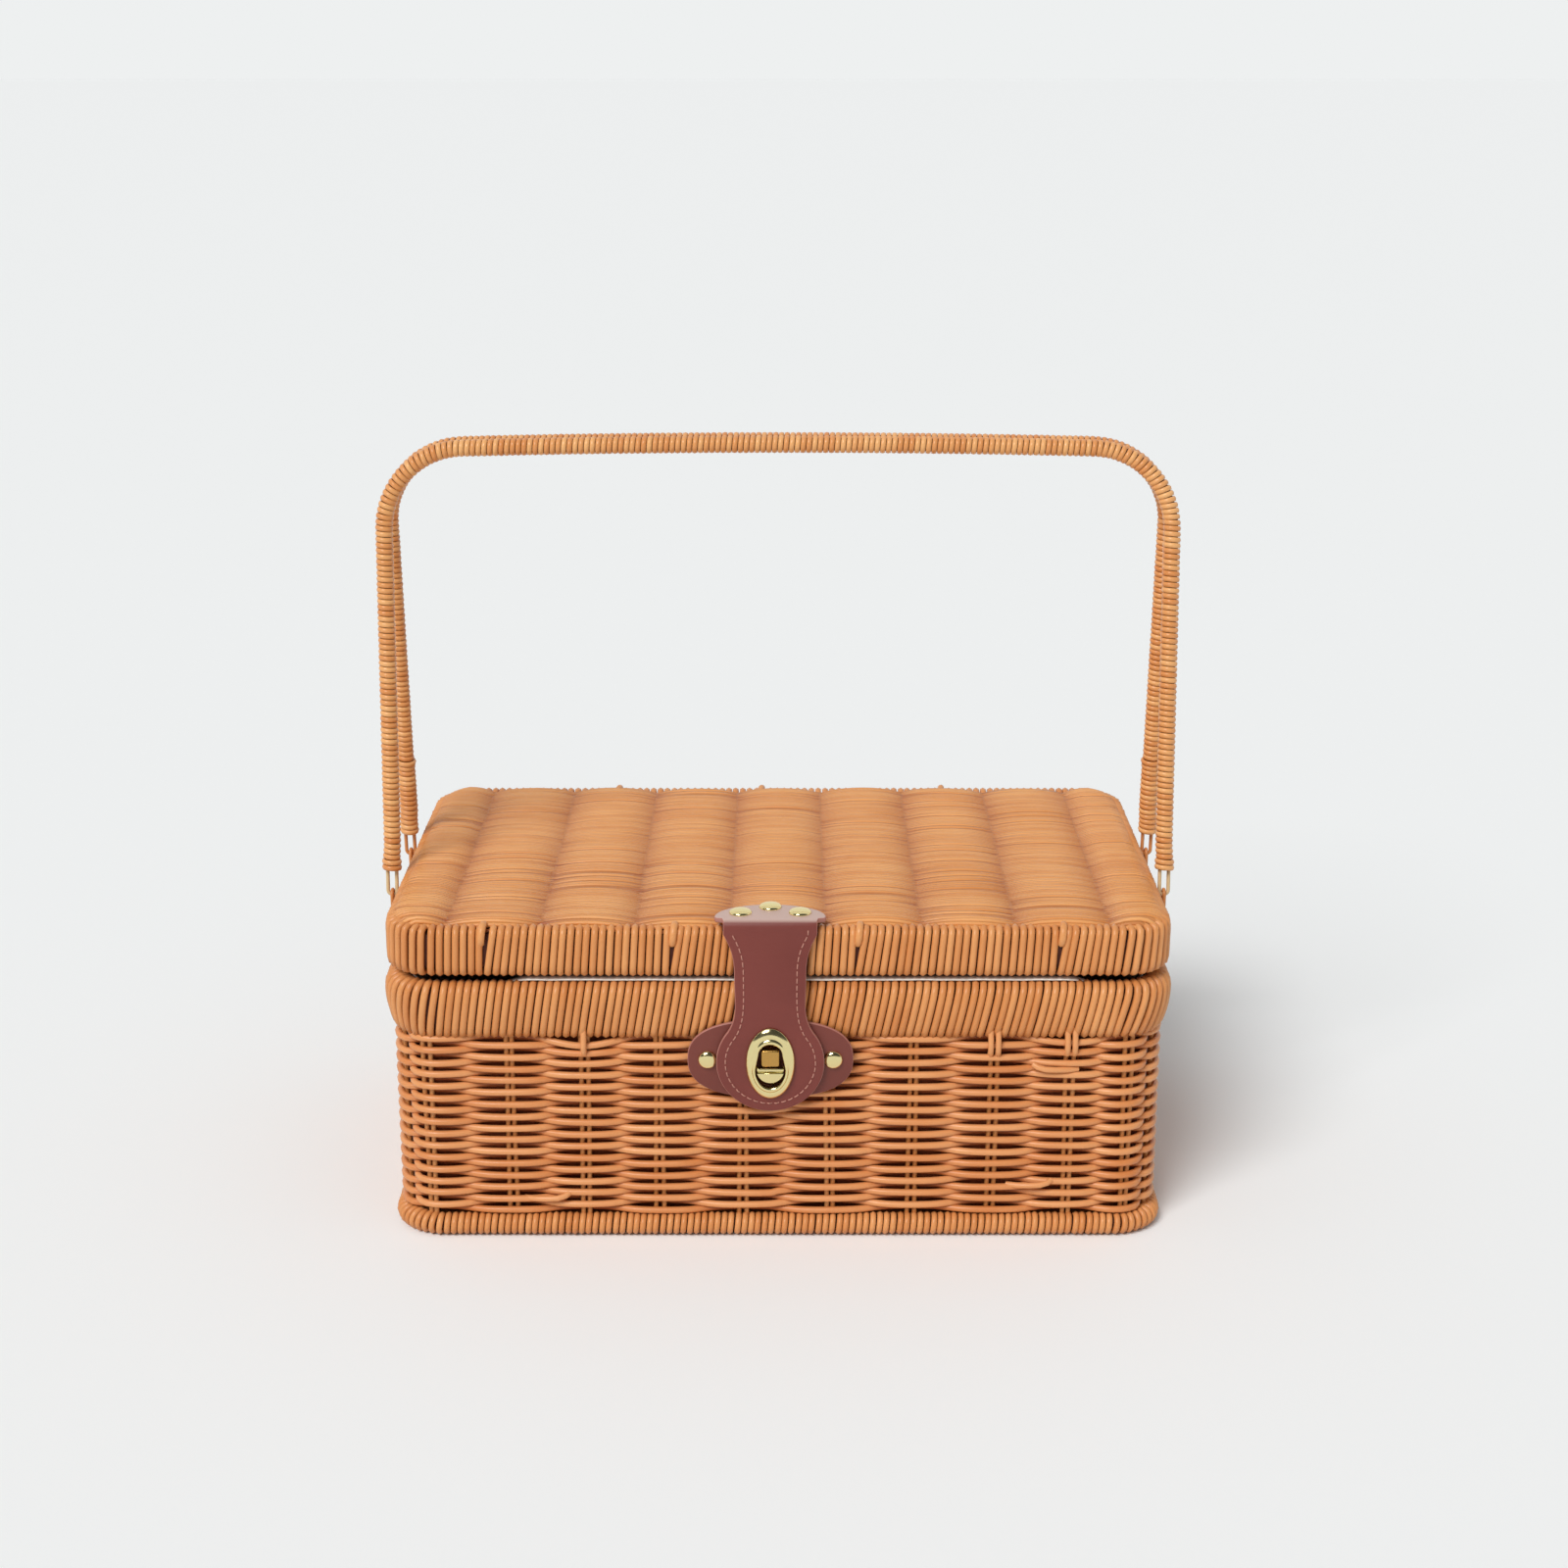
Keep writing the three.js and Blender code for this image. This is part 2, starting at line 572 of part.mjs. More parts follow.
// A round-headed rivet: its cap stands on z = 0 and its shank goes down from it
function rivet(diameter, crown, shank) {
  const profile = [
    [0, -shank], [RIVET_SHANK / 2, -shank], [RIVET_SHANK / 2, 0], [diameter / 2, 0],
    [diameter / 2, 0.3 * crown], [0.7 * diameter / 2, 0.84 * crown], [0, crown],
  ];
  const turned = new THREE.LatheGeometry(profile.map(([r, z]) => new THREE.Vector2(r, z)), 12);
  return turned.rotateX(Math.PI / 2);
}

function rivetHole(depth) {
  const radius = RIVET_SHANK / 2 + GAP;
  return new THREE.CylinderGeometry(radius, radius, depth, 10).rotateX(Math.PI / 2);
}

const patchRivets = [-PATCH_RIVET_SPREAD, PATCH_RIVET_SPREAD];
const patchRivetHoles = patchRivets.map((x) => rivetHole(2 * (PATCH_RIVET_REACH + GAP)).translate(x, 0, 0));
const wallHoles = patchRivetHoles.map(intoPart);

add(base, 'basket_wall', CANE_WEAVE, cut(wovenWall(), ...wallHoles));

const patchShape = superShape(PATCH_WIDTH / 2, PATCH_HEIGHT / 2, PATCH_POWER, PATCH_STEPS);
add(latch, 'leather_patch', LEATHER, cut(slab(patchShape, 0, PATCH_THICKNESS), ...patchRivetHoles));
patchRivets.forEach((x) => {
  const piece = rivet(PATCH_RIVET_DIAMETER, 2.4, PATCH_THICKNESS + GAP + PATCH_RIVET_REACH);
  piece.translate(x, 0, PATCH_THICKNESS + GAP);
  add(latch, `patch_rivet_${x < 0 ? 'left' : 'right'}`, BRASS, piece);
});

// The post: a square brass stud on a thin foot, notched below for the catch's tongue
const tongueLow = plateBack + GAP;
const tongueHigh = tongueLow + 0.8;
function latchPost() {
  const low = PATCH_THICKNESS + GAP;
  const foot = slab(
    roundedShape(POST_WIDTH / 2 + POST_FLANGE / 2, POST_HEIGHT / 2 + POST_FLANGE / 2, 1.5),
    low, low + POST_FLANGE_THICKNESS, 3).translate(0, POST_MIDDLE, 0);
  const stud = slab(roundedShape(POST_WIDTH / 2, POST_HEIGHT / 2, 1), low, plateTop + POST_PROUD, 3)
    .translate(0, POST_MIDDLE, 0);
  const notch = box(
    POST_WIDTH + 1, NOTCH_DEPTH * 2, tongueHigh - tongueLow + 2 * GAP,
    0, POST_MIDDLE - POST_HEIGHT / 2, (tongueLow + tongueHigh) / 2);
  return cut(join(foot, stud), notch);
}
add(latch, 'latch_post', BRASS, latchPost());
base.add(latch);

// Lid
const lid = new THREE.Group();
basket.add(lid);

const bandMiddle = lidHalfWidth - LID_BAND_THICKNESS / 2;
const bandMiddleDepth = lidHalfDepth - LID_BAND_THICKNESS / 2;
const bandCorner = lidCorner - LID_BAND_THICKNESS / 2;
const lidPath = () => roundedPath(bandMiddle, bandMiddleDepth, bandCorner);
const bandRadius = LID_BAND_THICKNESS / 2 - 0.5;
const lidBandSection = (grow) => bandSection(
  LID_BAND_THICKNESS / 2 + grow, -LID_BAND_THICKNESS / 2 - grow,
  lidBottom - grow, lidTop + grow, bandRadius + grow, 3);

// Where the strap's rivets go through
const rootY = -lidHalfDepth;
const rootRivets = [
  { name: 'strap_rivet_left', x: LATCH_OFFSET - ROOT_RIVET_SPREAD, y: rootY + ROOT_RIVET_SIDE },
  { name: 'strap_rivet_middle', x: LATCH_OFFSET, y: rootY + ROOT_RIVET_MIDDLE },
  { name: 'strap_rivet_right', x: LATCH_OFFSET + ROOT_RIVET_SPREAD, y: rootY + ROOT_RIVET_SIDE },
];
const grooveZ = lidTop + PANEL_RISE;
const crownZ = grooveZ + PANEL_CROWN;
const rootLow = crownZ + GAP;
const rootHigh = rootLow + STRAP_THICKNESS;
const rootHoles = rootRivets.map(({ x, y }) => rivetHole(2 * (RIVET_BITE + GAP)).translate(x, y, rootLow));

add(lid, 'lid_band', CANE_WRAP, cut(hoop(lidPath(), lidBandSection(0)), ...hingeGrooves(), ...rootHoles));

// The woven top: rows that pass over one rib and under the next, turn about, in one column per rib, and are
// eased down at the lid's edge
const panelHalfWidth = bandMiddle - LID_BAND_THICKNESS / 2 + PANEL_LAP;
const panelHalfDepth = bandMiddleDepth - LID_BAND_THICKNESS / 2 + PANEL_LAP;
const columnPitch = (2 * panelHalfWidth) / (COLUMNS - 2 + 2 * OUTER_COLUMN);
const columnLeft = (i) => (i === 0 ? 0 : i - 1 + OUTER_COLUMN) * columnPitch - panelHalfWidth;
const columnWidth = (i) => (i === 0 || i === COLUMNS - 1 ? OUTER_COLUMN : 1) * columnPitch;

function easedDown(x, y) {
  const inset = Math.min(panelHalfWidth - Math.abs(x), panelHalfDepth - Math.abs(y));
  return PANEL_EDGE * Math.max(0, 1 - inset / (2 * PANEL_EDGE)) ** 2;
}

function lidPanel() {
  // A station's crown is 0 in the groove between two columns and 1 or -1 on a column, by turns
  const edge = panelHalfWidth - 1.5 * PANEL_EDGE;      // where the eased edge is half way down
  const stations = [{ x: -panelHalfWidth, crown: 0 }, { x: -edge, crown: 0 }];
  for (let i = 0; i < COLUMNS; i++) {
    const crown = i % 2 === 0 ? 1 : -1;
    stations.push({ x: columnLeft(i) + COLUMN_FLANK * columnWidth(i), crown });
    stations.push({ x: columnLeft(i) + (1 - COLUMN_FLANK) * columnWidth(i), crown });
    stations.push({ x: Math.min(columnLeft(i) + columnWidth(i), edge), crown: 0 });
  }
  stations.push({ x: panelHalfWidth, crown: 0 });
  const pitch = (2 * panelHalfDepth) / PANEL_ROWS;
  const rows = Array.from(
    { length: PANEL_ROWS }, (_, i) => ({ y: (i + 0.5) * pitch - panelHalfDepth, turn: i % 2 === 0 ? 1 : -1 }));
  rows.unshift({ y: -panelHalfDepth, turn: 0 }, { y: PANEL_EDGE / 2 - panelHalfDepth, turn: 0 });
  rows.push({ y: panelHalfDepth - PANEL_EDGE / 2, turn: 0 }, { y: panelHalfDepth, turn: 0 });
  const low = grooveZ - PANEL_THICKNESS;
  const height = ({ x, crown }, { y, turn }) => {
    const over = PANEL_CROWN * Math.abs(crown) - (PANEL_SWING / 2) * (Math.abs(crown) - crown * turn);
    return grooveZ + over - easedDown(x, y);
  };
  const rings = stations.map((station) => [
    ...rows.map((row) => new THREE.Vector3(station.x, row.y, height(station, row))),
    new THREE.Vector3(station.x, panelHalfDepth, low), new THREE.Vector3(station.x, -panelHalfDepth, low),
  ]);
  const blank = loft(rings, false);
  const radius = lidCorner - (lidHalfWidth - panelHalfWidth);
  const outline = slab(roundedShape(panelHalfWidth, panelHalfDepth, radius), low - 1, crownZ + 1, ARC_STEPS);
  return cut(common(blank, outline), hoop(lidPath(), lidBandSection(GAP)), ...rootHoles);
}
add(lid, 'lid_panel', CANE_WEAVE, lidPanel());

// Ribs: half-round canes under the columns, between the front and the back rail
const ribHalf = bandMiddleDepth - LID_BAND_THICKNESS / 2 - GAP;
const ribTop = grooveZ - PANEL_THICKNESS - GAP;
const railInside = bandMiddle - LID_BAND_THICKNESS / 2;
for (let i = 0; i < COLUMNS; i++) {
  const outermost = i === 0 || i === COLUMNS - 1;         // half way between the last groove and the rail
  const middle = columnLeft(i) + columnWidth(i) / 2;
  const groove = Math.abs(middle) - columnWidth(i) / 2;
  const x = outermost ? (Math.sign(middle) * (railInside + groove)) / 2 : middle;
  const shape = new THREE.Shape();
  shape.moveTo(RIB_WIDTH / 2, 0);
  shape.absellipse(0, 0, RIB_WIDTH / 2, RIB_HEIGHT, 0, Math.PI);
  const rib = slab(shape, -ribHalf, ribHalf, 3).rotateX(-Math.PI / 2).translate(x, 0, ribTop);
  const trimmed = outermost ? cut(rib, hoop(lidPath(), lidBandSection(GAP))) : rib;
  add(lid, `lid_rib_${i + 1}`, CANE_WEAVE, trimmed);
}

// Strap root: the riveted end of the strap, bent down over the lid's edge
const flexY = -lidHalfDepth - STRAP_RUNOUT - STRAP_THICKNESS / 2;
const flexZ = rootLow - ROOT_BEND + STRAP_THICKNESS / 2 - 1;

// A shape drawn in (y, z), carried across the strap from its middle line to both sides
function acrossFrom(profile, half, curveSegments) {
  const side = slab(profile, -half, half, curveSegments);
  side.applyMatrix4(new THREE.Matrix4().makeBasis(
    new THREE.Vector3(0, 1, 0), new THREE.Vector3(0, 0, 1), new THREE.Vector3(1, 0, 0)));
  return side.translate(LATCH_OFFSET, 0, 0);
}

function strapRoot() {
  const back = rootY + ROOT_LENGTH;
  const faceY = flexY - STRAP_THICKNESS / 2;
  const innerY = flexY + STRAP_THICKNESS / 2;
  const foot = flexZ + STRAP_THICKNESS / 2 + GAP + 0.05;
  const profile = new THREE.Shape();
  profile.moveTo(back, rootLow);
  profile.lineTo(back, rootHigh);
  profile.lineTo(innerY + 2, rootHigh);
  profile.quadraticCurveTo(faceY, rootHigh, faceY, foot);
  profile.lineTo(innerY, foot);
  profile.quadraticCurveTo(innerY, rootLow, innerY + 3, rootLow);
  profile.closePath();
  const side = acrossFrom(profile, ROOT_HALF_WIDTH, 5);
  const outline = new THREE.Shape();
  outline.moveTo(-STRAP_HEAD, flexY - THROUGH);
  outline.lineTo(STRAP_HEAD, flexY - THROUGH);
  outline.lineTo(STRAP_HEAD, rootY + 0.5);
  outline.lineTo(ROOT_HALF_WIDTH, rootY + 1.5);
  outline.absellipse(0, rootY + 3, ROOT_HALF_WIDTH, ROOT_LENGTH - 3, 0, Math.PI);
  outline.lineTo(-ROOT_HALF_WIDTH, rootY + 1.5);
  outline.lineTo(-STRAP_HEAD, rootY + 0.5);
  outline.closePath();
  const blank = slab(outline, foot - 1, rootHigh + 1, 12).translate(LATCH_OFFSET, 0, 0);
  const holes = rootRivets.map(({ x, y }) => rivetHole(THROUGH).translate(x, y, rootLow));
  return cut(common(side, blank), ...holes);
}
add(lid, 'strap_root', LEATHER, strapRoot());
rootRivets.forEach(({ name, x, y }) => {
  const piece = rivet(ROOT_RIVET_DIAMETER, 2.2, STRAP_THICKNESS + GAP + RIVET_BITE);
  add(lid, name, BRASS, piece.translate(x, y, rootHigh + GAP));
});

// Strap: leather flap that hangs from the lid's edge and carries the latch
const strap = new THREE.Group();
lid.add(strap);

// From the latch's frame to (y, z) of the part
function fromLatch(up, out) {
  const p = new THREE.Vector3(0, up, out).applyMatrix4(latch.matrix);
  return [p.y, p.z];
}

// Outline of the window that the post comes through, larger by a margin
function windowShape(margin) {
  const shape = new THREE.Shape();
  const top = WINDOW_TOP - WINDOW_TOP_RADIUS;
  const foot = WINDOW_SHOULDER - WINDOW_FOOT;
  shape.absarc(0, top, WINDOW_TOP_RADIUS + margin, 0, Math.PI);
  shape.absellipse(0, WINDOW_SHOULDER, WINDOW_FOOT_RADIUS + margin, foot + margin, Math.PI, 2 * Math.PI);
  shape.closePath();
  return shape;
}

function strapFlap() {
  const foot = -STRAP_BULB - 2;
  const bend = PLATE_HEIGHT / 2 + 1;
  const topSteps = 5;
  const profile = new THREE.Shape();
  profile.moveTo(...fromLatch(foot, strapBack));
  profile.lineTo(...fromLatch(bend, strapBack));
  profile.lineTo(flexY + STRAP_THICKNESS / 2, flexZ);
  const half = STRAP_THICKNESS / 2;
  for (let i = 1; i < topSteps; i++) {
    const angle = (i / topSteps) * Math.PI;
    profile.lineTo(flexY + half * Math.cos(angle), flexZ + half * Math.sin(angle));
  }
  profile.lineTo(flexY - half, flexZ);
  profile.lineTo(...fromLatch(bend, strapFace));
  profile.lineTo(...fromLatch(foot, strapFace));
  profile.closePath();
  const side = acrossFrom(profile, THROUGH);
  const tangent = THREE.MathUtils.degToRad(38);    // where the neck leaves the round foot
  const outline = new THREE.Shape();
  const joinX = STRAP_BULB * Math.cos(tangent);
  const joinZ = LATCH_HEIGHT + STRAP_BULB * Math.sin(tangent);
  const leaveX = joinX - 9 * Math.sin(tangent);
  const leaveZ = joinZ + 9;
  const neckZ = STRAP_NECK_HEIGHT - 14;
  outline.absarc(0, LATCH_HEIGHT, STRAP_BULB, Math.PI - tangent, 2 * Math.PI + tangent);
  outline.bezierCurveTo(leaveX, leaveZ, STRAP_NECK, neckZ, STRAP_NECK, STRAP_NECK_HEIGHT);
  outline.quadraticCurveTo(STRAP_NECK, flexZ - 10, STRAP_HEAD, flexZ + 2);
  outline.lineTo(-STRAP_HEAD, flexZ + 2);
  outline.quadraticCurveTo(-STRAP_NECK, flexZ - 10, -STRAP_NECK, STRAP_NECK_HEIGHT);
  outline.bezierCurveTo(-STRAP_NECK, neckZ, -leaveX, leaveZ, -joinX, joinZ);
  const front = slab(outline, -THROUGH, THROUGH, 12).rotateX(Math.PI / 2).translate(LATCH_OFFSET, latchY, 0);
  const hole = intoPart(slab(windowShape(1), strapBack - 2, strapFace + 2, 8));
  return cut(common(side, front), hole);
}
add(strap, 'strap_flap', LEATHER, strapFlap());

const lock = new THREE.Group();
lock.position.copy(latch.position);
lock.rotation.copy(latch.rotation);
strap.add(lock);

// The catch: a half-moon thumb piece in the window, on a tongue that slides behind the plate
const catchTongueHalf = WINDOW_FOOT_RADIUS + 1.6;
function catchCavity() {
  const top = CATCH_TOP + CATCH_TONGUE + CATCH_PLAY;
  const foot = CATCH_FOOT - CATCH_TRAVEL - CATCH_PLAY;
  const height = top - foot;
  const deep = tongueHigh + GAP - plateBack;
  return box(2 * (catchTongueHalf + CATCH_PLAY), height, 2 * deep, 0, (top + foot) / 2, plateBack);
}

function latchPlate() {
  const profile = [[0, 0], [1, 0], [1, 0.3 * PLATE_EDGE], [0.975, PLATE_EDGE], [0.86, 0.62 * PLATE_DOME],
    [0.74, 0.88 * PLATE_DOME], [0.6, PLATE_DOME], [0, PLATE_DOME]];
  const turned = new THREE.LatheGeometry(profile.map(([r, z]) => new THREE.Vector2(r, z)), 28);
  turned.rotateX(Math.PI / 2).scale(PLATE_WIDTH / 2, PLATE_HEIGHT / 2, 1).translate(0, 0, plateBack);
  return cut(turned, slab(windowShape(0), plateBack - 1, plateTop + 1, 8), catchCavity());
}
add(lock, 'latch_plate', BRASS, latchPlate());

const backing = slab(
  ovalShape(PLATE_WIDTH / 2 - BACKING_MARGIN, PLATE_HEIGHT / 2 - BACKING_MARGIN),
  strapBack - GAP - BACKING_THICKNESS, strapBack - GAP, 12);
const backingHole = slab(windowShape(1), 0, strapBack, 8);
add(lock, 'latch_back_plate', BRASS, cut(backing, backingHole));

const catchBody = new THREE.Group();
lock.add(catchBody);
function thumbCatch() {
  const shape = new THREE.Shape();
  const half = WINDOW_FOOT_RADIUS - CATCH_SIDE_PLAY;
  shape.absellipse(0, CATCH_TOP - 1.2, half, CATCH_TOP - 1.2 - CATCH_FOOT, Math.PI, 2 * Math.PI);
  shape.lineTo(half, CATCH_TOP);
  shape.lineTo(-half, CATCH_TOP);
  shape.closePath();
  const thumb = slab(shape, tongueLow, plateTop - 0.4, 6);
  const ledge = box(2 * half - 0.6, 1.6, 1.4, 0, CATCH_TOP - 0.9, plateTop);
  const tongueTop = CATCH_TOP + CATCH_TONGUE;
  const tongueFoot = CATCH_FOOT + 1;
  const tongue = box(
    2 * catchTongueHalf, tongueTop - tongueFoot, tongueHigh - tongueLow,
    0, (tongueTop + tongueFoot) / 2, (tongueLow + tongueHigh) / 2);
  return join(thumb, ledge, tongue);
}
add(catchBody, 'thumb_catch', BRASS, thumbCatch());

// Handles: a wrapped bow on two links, leaning against each other at the grip
const gripY = (HANDLE_DIAMETER + GRIP_GAP) / 2;
const lean = Math.asin((HANDLE_SPLAY / 2 - gripY) / HANDLE_REACH);

function handleBow() {
  const points = [];
  const radii = [];
  const put = (x, z, radius) => {
    points.push(new THREE.Vector3(x, 0, z));
    radii.push(radius);
  };
  const legRadius = HANDLE_DIAMETER / 2;
  const foot = LINK_LENGTH;
  const bendZ = HANDLE_REACH - HANDLE_BOW - HANDLE_CORNER;
  const bendX = legX - HANDLE_CORNER;
  put(linkX, foot, HANDLE_END / 2 - 0.8);
  put(linkX, foot + 1, HANDLE_END / 2);
  put(linkX, foot + HANDLE_END_LENGTH, HANDLE_END / 2);
  put(linkX - HANDLE_END_SHIFT / 2, foot + HANDLE_END_LENGTH + 1, legRadius);
  put(legX, foot + HANDLE_END_LENGTH + 8, legRadius);
  put(legX, (foot + bendZ) / 2, legRadius);
  for (let i = 0; i <= BEND_STEPS; i++) {
    const angle = (i / BEND_STEPS) * (Math.PI / 2);
    put(bendX + HANDLE_CORNER * Math.cos(angle), bendZ + HANDLE_CORNER * Math.sin(angle), legRadius);
  }
  for (let i = 1; i <= 3; i++) {
    const share = i / 4;
    put(bendX * (1 - share), HANDLE_REACH - HANDLE_BOW * (1 - share) ** 2, legRadius);
  }
  const half = points.length;
  put(0, HANDLE_REACH, legRadius);
  for (let i = half - 1; i >= 0; i--) {
    put(-points[i].x, points[i].z, radii[i]);
  }
  const ends = [points[0], points.at(-1)].map((p) => socketHole(p.x, foot));
  return cut(bar(points, radii, HANDLE_SIDES), ...ends);
}

// Link: the handle's bare core, bent into a narrow U whose bend lies on the pivot
function link(x, grow) {
  const half = LINK_WIDTH / 2;
  const top = LINK_LENGTH + 4 + grow;
  const points = [new THREE.Vector3(x + half, 0, top), new THREE.Vector3(x + half, 0, half)];
  for (let i = 1; i < 6; i++) {
    const angle = -(i / 6) * Math.PI;
    points.push(new THREE.Vector3(x + half * Math.cos(angle), 0, half + half * Math.sin(angle)));
  }
  points.push(new THREE.Vector3(x - half, 0, half), new THREE.Vector3(x - half, 0, top));
  return bar(points, points.map(() => LINK_STRAND / 2 + grow), CANE_SIDES);
}

const socketHole = (x) => link(x, GAP);

for (const { name, pivotY, lean: turn } of handlePlaces) {
  const handle = new THREE.Group();
  handle.position.set(0, pivotY, pivotZ);
  handle.rotation.x = -turn * lean;
  basket.add(handle);
  add(handle, `${name}_bow`, CANE_HANDLE, handleBow());
  add(handle, `${name}_link_left`, CANE_WRAP, link(-linkX, 0));
  add(handle, `${name}_link_right`, CANE_WRAP, link(linkX, 0));
}

export default basket;
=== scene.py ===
"""Looks of a lidded rattan basket, built round its CAD model.

Single strands on paths of their own make the wall, the rails, the lid and the handles. The strap and the
patch are leather, the press catch and the rivets are brass, and a cotton lining lies inside. Lengths are in
millimetres, and turn into metres where a mesh is made.
"""
import math

import bmesh
import bpy
import numpy as np
from mathutils import Euler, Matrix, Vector


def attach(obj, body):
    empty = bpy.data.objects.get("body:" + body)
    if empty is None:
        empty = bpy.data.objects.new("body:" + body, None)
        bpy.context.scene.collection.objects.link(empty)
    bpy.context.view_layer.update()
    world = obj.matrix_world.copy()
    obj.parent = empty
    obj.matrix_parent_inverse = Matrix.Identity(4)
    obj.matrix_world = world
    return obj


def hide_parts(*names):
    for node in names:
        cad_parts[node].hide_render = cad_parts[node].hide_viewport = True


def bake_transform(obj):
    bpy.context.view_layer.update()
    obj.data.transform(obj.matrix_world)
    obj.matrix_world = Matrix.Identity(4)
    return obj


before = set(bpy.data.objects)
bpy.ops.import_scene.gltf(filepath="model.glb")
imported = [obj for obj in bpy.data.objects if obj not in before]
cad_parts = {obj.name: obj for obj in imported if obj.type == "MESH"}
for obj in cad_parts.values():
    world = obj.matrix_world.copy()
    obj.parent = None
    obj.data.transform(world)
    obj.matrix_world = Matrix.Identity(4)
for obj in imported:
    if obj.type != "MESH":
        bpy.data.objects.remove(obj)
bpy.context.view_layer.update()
MM = 0.001
TURN = 2 * math.pi
rng = np.random.default_rng(7)

# Sizes of the CAD part that the looks are built on, in mm
WALL_MIDDLE = (194.5, 118.5, 21.5)     # half width, half depth and corner radius of the wall's middle line
STAKE_LINE = (193.4, 116.7, 20.5)
LID_MIDDLE = (193.5, 117.5, 20.5)
WALL_LOW = 11.9
WALL_HIGH = 110.6
RIM_TOP = 140.4
FOOT_RADIUS = 6.2
FOOT_FLAT = 0.5
PANEL_TOP = 172.6
PANEL_HALF = (197.3, 118.4)
PANEL_CORNER = 23.0
COLUMNS = 9
COLUMN_PITCH = 47.81
HINGE = (124.0, 141.9)                 # y and z of the line that the lid turns on
HINGE_SPREAD = 110.0
PIVOT = (34.7, 157.4)                  # how far out and how high the line is that a handle turns on
REACH = 238.6                          # of a handle, from that line to its grip
GRIP_Y = 5.2
GRIP_BOW = 2.0
GRIP_CORNER = 42.0
HANDLE_RADIUS = 4.7
LEG_X = 205.5
LINK_X = 206.0
LINK_LENGTH = 13.5
EYE_RIM_X = 201.5                      # where a handle's eye goes into the rim
LATCH_X = -3.8
LATCH_Y = -123.0754
LATCH_Z = 100.5
LATCH_TILT = math.radians(4.4843)
PATCH_THICKNESS = 2.2
PATCH_HALF = (42, 22)
STRAP_BACK = 3.6
PLATE_BACK = 6.5
PLATE_TOP = 9.9
PLATE_HALF = (12.5, 19.8)
FLEX = (-126.5, 168.2)                 # y and z of the line that the strap bends on
ROOT_LOW = 172.9
ROOT_HIGH = 175.5
ROOT_Y = -124.0


def srgb(code):
    """A hex colour as the linear value that a shader takes."""
    values = [int(code[i:i + 2], 16) / 255 for i in (1, 3, 5)]
    return [v / 12.92 if v <= 0.04045 else ((v + 0.055) / 1.055) ** 2.4 for v in values] + [1.0]


def node(tree, kind, inputs=None, **settings):
    """Adds a node, sets its properties, and then links or sets its inputs, by name or number.

    A bare kind is a shader node. An input that is itself a node is linked from that node's first output.
    """
    made = tree.nodes.new(kind if "Node" in kind else "ShaderNode" + kind)
    for key, value in settings.items():
        setattr(made, key, value)
    for key, value in (inputs or {}).items():
        if isinstance(value, bpy.types.Node):
            value = value.outputs[0]
        if isinstance(value, bpy.types.NodeSocket):
            tree.links.new(value, made.inputs[key])
        else:
            made.inputs[key].default_value = value
    return made


# Materials. Noise scales are per metre: 45 makes clouds of about 22 mm, and 700 a grain of about 1.5 mm

MIX_A = 6                              # numbers of a Mix node's colour inputs and of its colour output
MIX_B = 7
MIXED = 2


def new_material(name):
    material = bpy.data.materials.new(name)
    material.use_nodes = True
    material.node_tree.nodes.clear()
    return material, material.node_tree


def finish(tree, colour, layers, grain, rough, relief, more, height=None):
    """Lays colours over the first one, each by its share, and adds the gloss, the relief and the shader."""
    for share, over in layers:
        laid = node(tree, "Mix", {0: share, MIX_A: colour, MIX_B: over}, data_type="RGBA")
        colour = laid.outputs[MIXED]
    gloss = node(tree, "MapRange", {"Value": grain, "From Min": 0.3, "From Max": 0.7,
                                    "To Min": rough[0], "To Max": rough[1]})
    bump = node(tree, "Bump", {"Height": height or grain, "Strength": relief[0], "Distance": relief[1]})
    shader = node(tree, "BsdfPrincipled", {"Base Color": colour, "Roughness": gloss, "Normal": bump, **more})
    node(tree, "OutputMaterial", {"Surface": shader})


def cane_material(name, pale, deep, shade_colour, rough):
    """Round plastic cane, extruded: a satin sheen, a tone of its own for each strand with soft clouds along
    it, and a browner colour as painted shade where a strand lies deeper, which the points' painted_shade
    says."""
    material, tree = new_material(name)
    place = node(tree, "TexCoord").outputs["Object"]
    cloud = node(tree, "TexNoise", {"Vector": place, "Scale": 45.0, "Detail": 2.0})
    grain = node(tree, "TexNoise", {"Vector": place, "Scale": 700.0, "Detail": 3.0, "Roughness": 0.6})
    tone = node(tree, "Attribute", attribute_name="tone").outputs["Fac"]
    painted_shade = node(tree, "Attribute", attribute_name="painted_shade").outputs["Fac"]
    both = node(tree, "Math", {0: tone, 1: cloud}, operation="ADD")
    light = node(tree, "MapRange", {"Value": both, "From Min": 0.35, "From Max": 1.65})
    finish(tree, srgb(deep), [(light, srgb(pale)), (painted_shade, srgb(shade_colour))], grain,
           (rough - 0.06, rough + 0.08), (0.12, 0.0004), {"Specular IOR Level": 0.42})
    return material


def plain_material(name, colour, rough, metallic=0.0, grain_scale=300.0, variation=0.08, relief_depth=0.0002):
    """One colour, which a grain makes a little darker here and there, and a little rougher or smoother."""
    material, tree = new_material(name)
    place = node(tree, "TexCoord").outputs["Object"]
    grain = node(tree, "TexNoise", {"Vector": place, "Scale": grain_scale, "Detail": 3.0})
    dark = [c * (1 - variation) for c in srgb(colour)[:3]] + [1.0]
    finish(tree, dark, [(grain, srgb(colour))], grain, (rough - 0.04, rough + 0.04), (0.1, relief_depth),
           {"Metallic": metallic})
    return material


